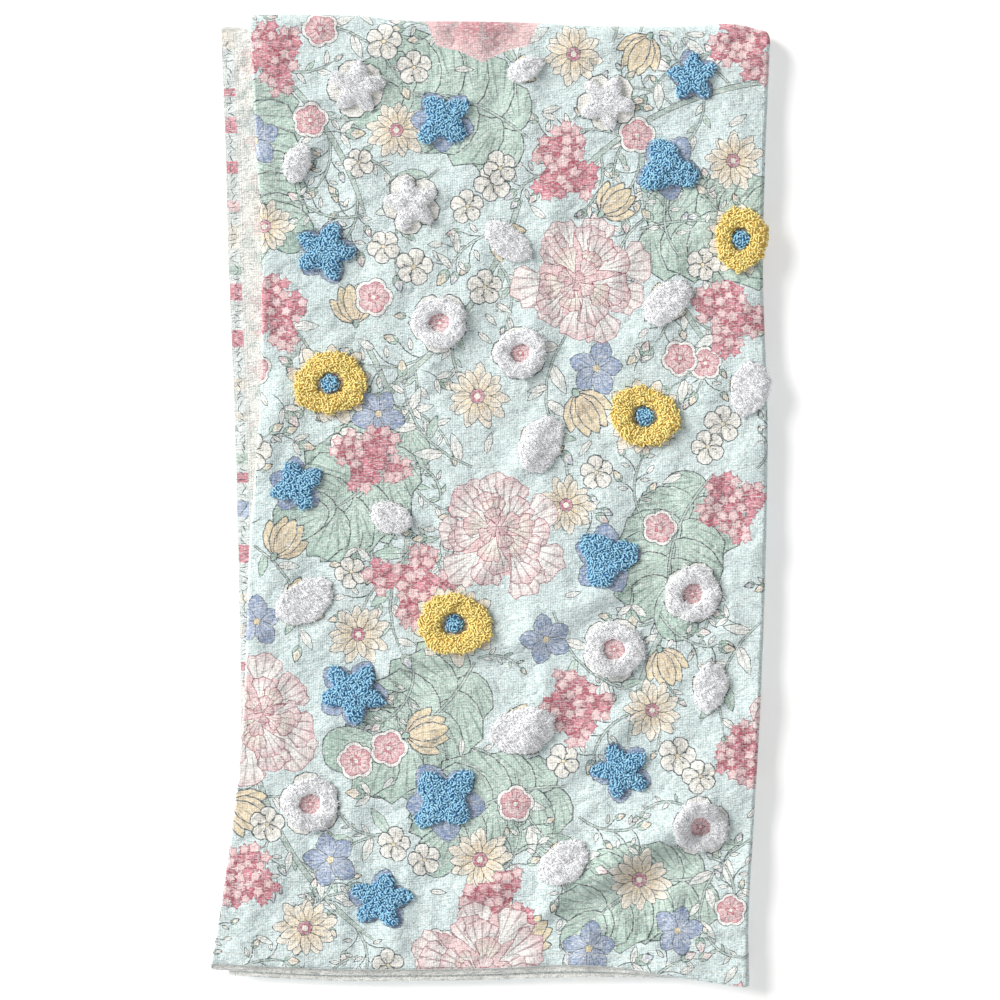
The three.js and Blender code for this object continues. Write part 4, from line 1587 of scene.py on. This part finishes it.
class Finish:
    """A material's nodes, added one at a time."""

    def __init__(self, name):
        self.material = bpy.data.materials.new(name)
        self.material.use_nodes = True
        self.tree = self.material.node_tree
        self.tree.nodes.clear()
        self.shader = self.node("ShaderNodeBsdfPrincipled")
        self.node("ShaderNodeOutputMaterial", {}, {"Surface": self.shader.outputs["BSDF"]})

    def node(self, kind, settings=None, sockets=None):
        """A node of a type, with its settings made first and then its sockets linked or set."""
        node = self.tree.nodes.new(kind)
        for name, value in (settings or {}).items():
            setattr(node, name, value)
        self.join(node, sockets or {})
        return node

    def join(self, node, sockets):
        for name, value in sockets.items():
            value = value.socket if isinstance(value, Value) else value
            if isinstance(value, bpy.types.NodeSocket):
                self.tree.links.new(value, node.inputs[name])
            else:
                node.inputs[name].default_value = value

    def math(self, operation, *values):
        node = self.node("ShaderNodeMath", {"operation": operation}, dict(enumerate(values)))
        return Value(self, node.outputs[0])

    def blend(self, share, first, second):
        """One colour going over into another."""
        node = self.node("ShaderNodeMix", {"data_type": "RGBA"}, {0: share, 6: first, 7: second})
        return node.outputs[2]

    def noise(self, vector, size, detail=2.0, shift=0.0):
        """Uneven blotches of a size, in metres, each way."""
        scale = tuple(1 / length for length in size)
        place = self.node("ShaderNodeMapping", {}, {
            "Vector": vector, "Scale": scale, "Location": (shift,) * 3,
        })
        noise = self.node("ShaderNodeTexNoise", {}, {
            "Vector": place.outputs["Vector"], "Scale": 1.0, "Detail": detail, "Roughness": 0.55,
        })
        return Value(self, noise.outputs["Fac"])


def rgba(colour):
    return (*colour, 1.0)


def printed_colour(finish, ink):
    """The print's colours: from core to rim, with fine strokes round each part's middle."""
    held = {
        name: finish.node("ShaderNodeAttribute", {"attribute_name": name}).outputs
        for name in ("rim", "core", "within")
    }
    parts = finish.node("ShaderNodeSeparateXYZ", {}, {"Vector": held["within"]["Vector"]})
    x = Value(finish, parts.outputs["X"])
    y = Value(finish, parts.outputs["Y"])
    away = (x * x + y * y).math("SQRT")
    colour = finish.blend(away.ramp(0.3, 1.05), held["core"]["Color"], held["rim"]["Color"])
    strokes = Value(finish, held["rim"]["Alpha"])
    lines = (y.math("ARCTAN2", x) * strokes).math("COSINE").ramp(0.6, 0.95)
    lines = lines * away.ramp(0.1, 0.3) * away.ramp(0.92, 0.6) * strokes.ramp(0.2, 0.8)
    return finish.blend(lines * 0.75, colour, finish.blend(0.55, held["rim"]["Color"], rgba(ink)))


def cloth_finish(ink, relief_height):
    """Printed slub cotton: uneven threads both ways with pale slubs and painted shade between the threads,
    over the sheet's own colours.
    """
    finish = Finish("printed_slub_cotton")
    place = finish.node("ShaderNodeUVMap", {"uv_map": "spread"}).outputs["UV"]
    parts = finish.node("ShaderNodeSeparateXYZ", {}, {"Vector": place})
    x = Value(finish, parts.outputs["X"])
    y = Value(finish, parts.outputs["Y"])
    drift = finish.noise(place, (0.012, 0.012, 1))
    weft = (y * (TAU / 0.0021) + drift * 14 + x * 60).wave()
    warp = (x * (TAU / 0.0018) + drift * 12).wave()
    slub = finish.noise(place, (0.0042, 0.0011, 1), 2.5)
    long_slub = finish.noise(place, (0.016, 0.0014, 1), 2.0, 3.7)
    upright = finish.noise(place, (0.0012, 0.0060, 1), 2.5, 9.1)
    grain = finish.noise(place, (0.0018, 0.0009, 1), 1.5, 5.3)
    fleck = finish.noise(place, (0.0028, 0.0011, 1), 1.0, 7.9)
    pale = fleck.ramp(0.48, 0.66) * 0.42 + slub.ramp(0.5, 0.68) * 0.42 + long_slub.ramp(0.56, 0.7) * 0.26
    # Gap is painted shade: where the threads part, the colour goes towards a dark grey teal.
    gap = grain.ramp(0.52, 0.34) * 0.36 + slub.ramp(0.46, 0.32) * 0.4 + upright.ramp(0.5, 0.36) * 0.08
    colour = finish.blend(pale, printed_colour(finish, ink), rgba(linear("FAFAF7")))
    colour = finish.blend(gap, colour, rgba(linear("8B9D9E")))
    crumple = (finish.noise(place, (0.034, 0.022, 1), 2.0, 11.3) - 0.5).math("ABSOLUTE")
    pucker = finish.noise(place, (0.013, 0.007, 1), 2.0, 15.7)
    threads = weft * 0.4 + warp * 0.2 + slub * 3.6 + long_slub * 2 + upright * 1.0 + grain * 2.4 + fleck * 3
    height = crumple * 40 + pucker * 8 + threads
    bump = finish.node("ShaderNodeBump", {}, {"Height": height, "Strength": 0.7, "Distance": relief_height})
    finish.join(finish.shader, {
        "Base Color": colour, "Normal": bump.outputs["Normal"], "Roughness": 0.88,
        "Sheen Weight": 0.12, "Sheen Roughness": 0.6, "Specular IOR Level": 0.25,
    })
    return finish.material


def yarn_finish(name, light, dark):
    """Cotton pile: each strand a little lighter or darker, with painted shade towards its root, and fine
    fibres.
    """
    finish = Finish(name)
    held = finish.node("ShaderNodeAttribute", {"attribute_name": "pile"}).outputs["Color"]
    parts = finish.node("ShaderNodeSeparateColor", {}, {"Color": held})
    strand = Value(finish, parts.outputs["Red"])
    depth = Value(finish, parts.outputs["Green"])
    place = finish.node("ShaderNodeTexCoord").outputs["Object"]
    fibre = finish.noise(place, (0.0005, 0.0005, 0.0005), 2.0)
    patch = finish.noise(place, (0.008, 0.008, 0.008), 1.0, 4.2)
    # Depth paints shade: the colour goes to the dark root colour towards each strand's root.
    shade = depth * 0.7 + strand * 0.6 + fibre * 0.3 + patch * 0.3 - 0.5
    colour = finish.blend(shade.ramp(0.05, 0.85), rgba(dark), rgba(light))
    bump = finish.node("ShaderNodeBump", {}, {"Height": fibre, "Strength": 0.5, "Distance": 0.0002})
    finish.join(finish.shader, {
        "Base Color": colour, "Normal": bump.outputs["Normal"], "Roughness": 0.9,
        "Sheen Weight": 0.3, "Sheen Roughness": 0.5, "Specular IOR Level": 0.25,
    })
    return finish.material


def floor_finish(colour, glow):
    """A plain pale paper floor, with the faintest unevenness."""
    finish = Finish("studio_floor")
    place = finish.node("ShaderNodeTexCoord").outputs["Object"]
    tone = finish.noise(place, (0.6, 0.6, 0.6), 1.0)
    finish.join(finish.shader, {
        "Base Color": finish.blend(tone * 0.06, rgba(colour), rgba([part * 0.9 for part in colour])),
        "Roughness": 0.8, "Specular IOR Level": 0.2,
        "Emission Color": (1, 1, 1, 1), "Emission Strength": glow,
    })
    return finish.material


# ---- Sizes and colours a user may change -----------------------------------------------------


class ThrowCloth(bpy.types.PropertyGroup):
    """The printed sheet."""

    ground: FloatVectorProperty(
        name="Ground", description="Colour between the flowers", subtype="COLOR", default=INKS["ground"])
    ink: FloatVectorProperty(
        name="Ink", description="Colour of the drawn lines", subtype="COLOR", default=INKS["ink"])
    reverse: FloatVectorProperty(
        name="Reverse", description="Colour of the wrong side", subtype="COLOR", default=INKS["reverse"])
    relief: FloatProperty(
        name="Relief", description="Height of the threads' relief", default=0.00028, min=0, unit="LENGTH")


class ThrowPile(bpy.types.PropertyGroup):
    """The yarns of the tufts."""

    height: FloatProperty(
        name="Height", description="Height of the pile", default=0.006, min=0.002, unit="LENGTH")
    centre_height: FloatProperty(
        name="Centre height", description="Height of the flower centres", default=0.0045, min=0.002,
        unit="LENGTH")
    white: FloatVectorProperty(
        name="White", description="White pile", subtype="COLOR", default=linear("FBFBFB"))
    # Painted shade: the white pile turns to this colour towards its roots and on the body under it.
    white_root: FloatVectorProperty(
        name="White root", description="White pile at its root", subtype="COLOR", default=linear("E8E9ED"))
    blue: FloatVectorProperty(
        name="Blue", description="Blue pile", subtype="COLOR", default=linear("A2D8F2"))
    # Painted shade: the blue pile turns to this colour towards its roots and on the body under it.
    blue_root: FloatVectorProperty(
        name="Blue root", description="Blue pile at its root", subtype="COLOR", default=linear("3074A8"))
    yellow: FloatVectorProperty(
        name="Yellow", description="Yellow pile", subtype="COLOR", default=linear("FFEE9A"))
    # Painted shade: the yellow pile turns to this colour towards its roots and on the body under it.
    yellow_root: FloatVectorProperty(
        name="Yellow root", description="Yellow pile at its root", subtype="COLOR", default=linear("E6BC58"))


class ThrowStage(bpy.types.PropertyGroup):
    """The floor, the light and the camera."""

    floor: FloatVectorProperty(
        name="Floor", description="Colour of the floor", subtype="COLOR", default=linear("FBFBFA"))
    glow: FloatProperty(
        name="Floor glow", description="Light that the floor gives off", default=0.3, min=0)
    sky: FloatProperty(
        name="Soft light", description="Strength of the light from all round", default=0.3, min=0)
    key: FloatProperty(
        name="Key light", description="Strength of the light from the upper left", default=4.25, min=0)
    fill: FloatProperty(
        name="Fill light", description="Strength of the light from the near side", default=0.9, min=0)
    lens: FloatProperty(
        name="Lens", description="Focal length of the camera in millimetres", default=150, min=20)
    view_width: FloatProperty(
        name="View width", description="Width that the camera takes in", default=0.79, min=0.1,
        unit="LENGTH", subtype="DISTANCE")


# ---- Operators -------------------------------------------------------------------------------


def settle(piece, nodes, material):
    """Places a finished piece in the frame."""
    piece.data.transform(Matrix.Translation(sheet_shift()))
    piece.data.materials.append(material)
    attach(piece, "root")
    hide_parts(*nodes)


@functools.cache
def sheet_shift():
    """How far the tables' origin lies from the frame's, from the sheet's own box."""
    across, along = np.meshgrid(np.linspace(-1 - FLAP_REACH, 3, 120), np.linspace(0, 3, 300))
    points = folded(spread(across.ravel(), along.ravel())) * MM
    cad_low, cad_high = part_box("throw_cloth")
    own_low, own_high = Vector(points.min(axis=0)), Vector(points.max(axis=0))
    shift = (cad_low + cad_high - own_low - own_high) / 2
    shift.z = cad_low.z - own_low.z
    return shift


class MakeSheet(bpy.types.Operator):
    """Makes the folded, printed sheet"""

    bl_idname = "throw.make_sheet"
    bl_label = "Folded sheet"

    def execute(self, context):
        cloth = context.scene.throw_cloth
        inks = {**INKS, **{name: tuple(getattr(cloth, name)) for name in ("ground", "ink", "reverse")}}
        piece = closed_sheet("printed_throw_cloth", inks)
        settle(piece, ["throw_cloth"], cloth_finish(inks["ink"], cloth.relief))
        return {"FINISHED"}


class TuftMaker:
    """Makes all the tufts of one form, each a piece of its own."""

    form = ""

    def execute(self, context):
        pile = context.scene.throw_pile
        rng = np.random.default_rng(len(self.form))
        for name, tuft in named_tufts():
            if tuft.form != self.form:
                continue
            yarn = tuft.yarn
            height = pile.centre_height if self.form == "centre" else pile.height
            piece = pile_piece(f"pile_{name}", tuft, height / MM, rng)
            material = bpy.data.materials.get(f"{yarn}_pile_yarn")
            if material is None:
                colours = getattr(pile, yarn), getattr(pile, f"{yarn}_root")
                material = yarn_finish(f"{yarn}_pile_yarn", *colours)
            settle(piece, [f"tuft_{name}"], material)
        return {"FINISHED"}


class MakeStars(TuftMaker, bpy.types.Operator):
    """Makes the tufted stars, blue with loops and white with a nap"""

    bl_idname = "throw.make_stars"
    bl_label = "Tufted stars"
    form = "star"


class MakeOvals(TuftMaker, bpy.types.Operator):
    """Makes the napped oval petals"""

    bl_idname = "throw.make_ovals"
    bl_label = "Tufted ovals"
    form = "oval"


class MakeRings(TuftMaker, bpy.types.Operator):
    """Makes the tufted rings, yellow with loops and white with a nap"""

    bl_idname = "throw.make_rings"
    bl_label = "Tufted rings"
    form = "ring"


class MakeCentres(TuftMaker, bpy.types.Operator):
    """Makes the small looped centres of the yellow rings"""

    bl_idname = "throw.make_centres"
    bl_label = "Flower centres"
    form = "centre"


# How far right of the tables' origin the camera looks.
VIEW_CENTRE = 7.9


class MakeStage(bpy.types.Operator):
    """Makes the floor, the soft light and the camera straight above"""

    bl_idname = "throw.make_stage"
    bl_label = "Stage"

    def execute(self, context):
        stage = context.scene.throw_stage
        shift = sheet_shift()
        middle = Vector((VIEW_CENTRE * MM + shift.x, shift.y, 0))
        bpy.ops.mesh.primitive_plane_add(size=6)
        floor = context.object
        floor.name = "floor"
        floor.data.materials.append(floor_finish(stage.floor, stage.glow))
        world = bpy.data.worlds.new("soft_room")
        world.use_nodes = True
        world.node_tree.nodes["Background"].inputs["Color"].default_value = (0.97, 0.98, 1.0, 1)
        world.node_tree.nodes["Background"].inputs["Strength"].default_value = stage.sky
        context.scene.world = world
        self.sun(context, "key", stage.key, 32, (-0.90, 0.46, 0.58), (1.0, 0.985, 0.96))
        self.sun(context, "fill", stage.fill, 60, (0.1, -0.9, 0.42), (1, 1, 1))
        camera = bpy.data.cameras.new("camera")
        camera.lens = stage.lens
        distance = stage.view_width * camera.lens / camera.sensor_width
        holder = bpy.data.objects.new("camera", camera)
        holder.location = middle + Vector((0, 0, distance + STACK_HEIGHT * MM))
        context.scene.collection.objects.link(holder)
        context.scene.camera = holder
        context.scene.view_settings.view_transform = "Standard"
        return {"FINISHED"}

    def sun(self, context, name, strength, spread_degrees, direction, colour):
        """A wide soft light from a direction."""
        light = bpy.data.lights.new(name, "SUN")
        light.energy = strength
        light.angle = math.radians(spread_degrees)
        light.color = colour
        lamp = bpy.data.objects.new(name, light)
        lamp.rotation_euler = Vector(direction).to_track_quat("Z", "Y").to_euler()
        context.scene.collection.objects.link(lamp)


class ThrowPanel(bpy.types.Panel):
    """Lists the throw's pieces and its settings"""

    bl_idname = "VIEW3D_PT_throw"
    bl_label = "Textured throw"
    bl_space_type = "VIEW_3D"
    bl_region_type = "UI"
    bl_category = "Throw"

    def draw(self, context):
        for maker in MAKERS:
            self.layout.operator(maker.bl_idname)
        for group in (context.scene.throw_cloth, context.scene.throw_pile, context.scene.throw_stage):
            for name in group.__annotations__:
                self.layout.prop(group, name)


MAKERS = (MakeStage, MakeSheet, MakeStars, MakeOvals, MakeRings, MakeCentres)
CLASSES = (ThrowCloth, ThrowPile, ThrowStage, *MAKERS, ThrowPanel)


def register():
    for made in CLASSES:
        bpy.utils.register_class(made)
    bpy.types.Scene.throw_cloth = PointerProperty(type=ThrowCloth)
    bpy.types.Scene.throw_pile = PointerProperty(type=ThrowPile)
    bpy.types.Scene.throw_stage = PointerProperty(type=ThrowStage)


def unregister():
    del bpy.types.Scene.throw_cloth
    del bpy.types.Scene.throw_pile
    del bpy.types.Scene.throw_stage
    for made in reversed(CLASSES):
        bpy.utils.unregister_class(made)


def main():
    register()
    bpy.ops.throw.make_stage()
    bpy.ops.throw.make_sheet()
    bpy.ops.throw.make_stars()
    bpy.ops.throw.make_ovals()
    bpy.ops.throw.make_rings()
    bpy.ops.throw.make_centres()


if __name__ == "__main__":
    main()
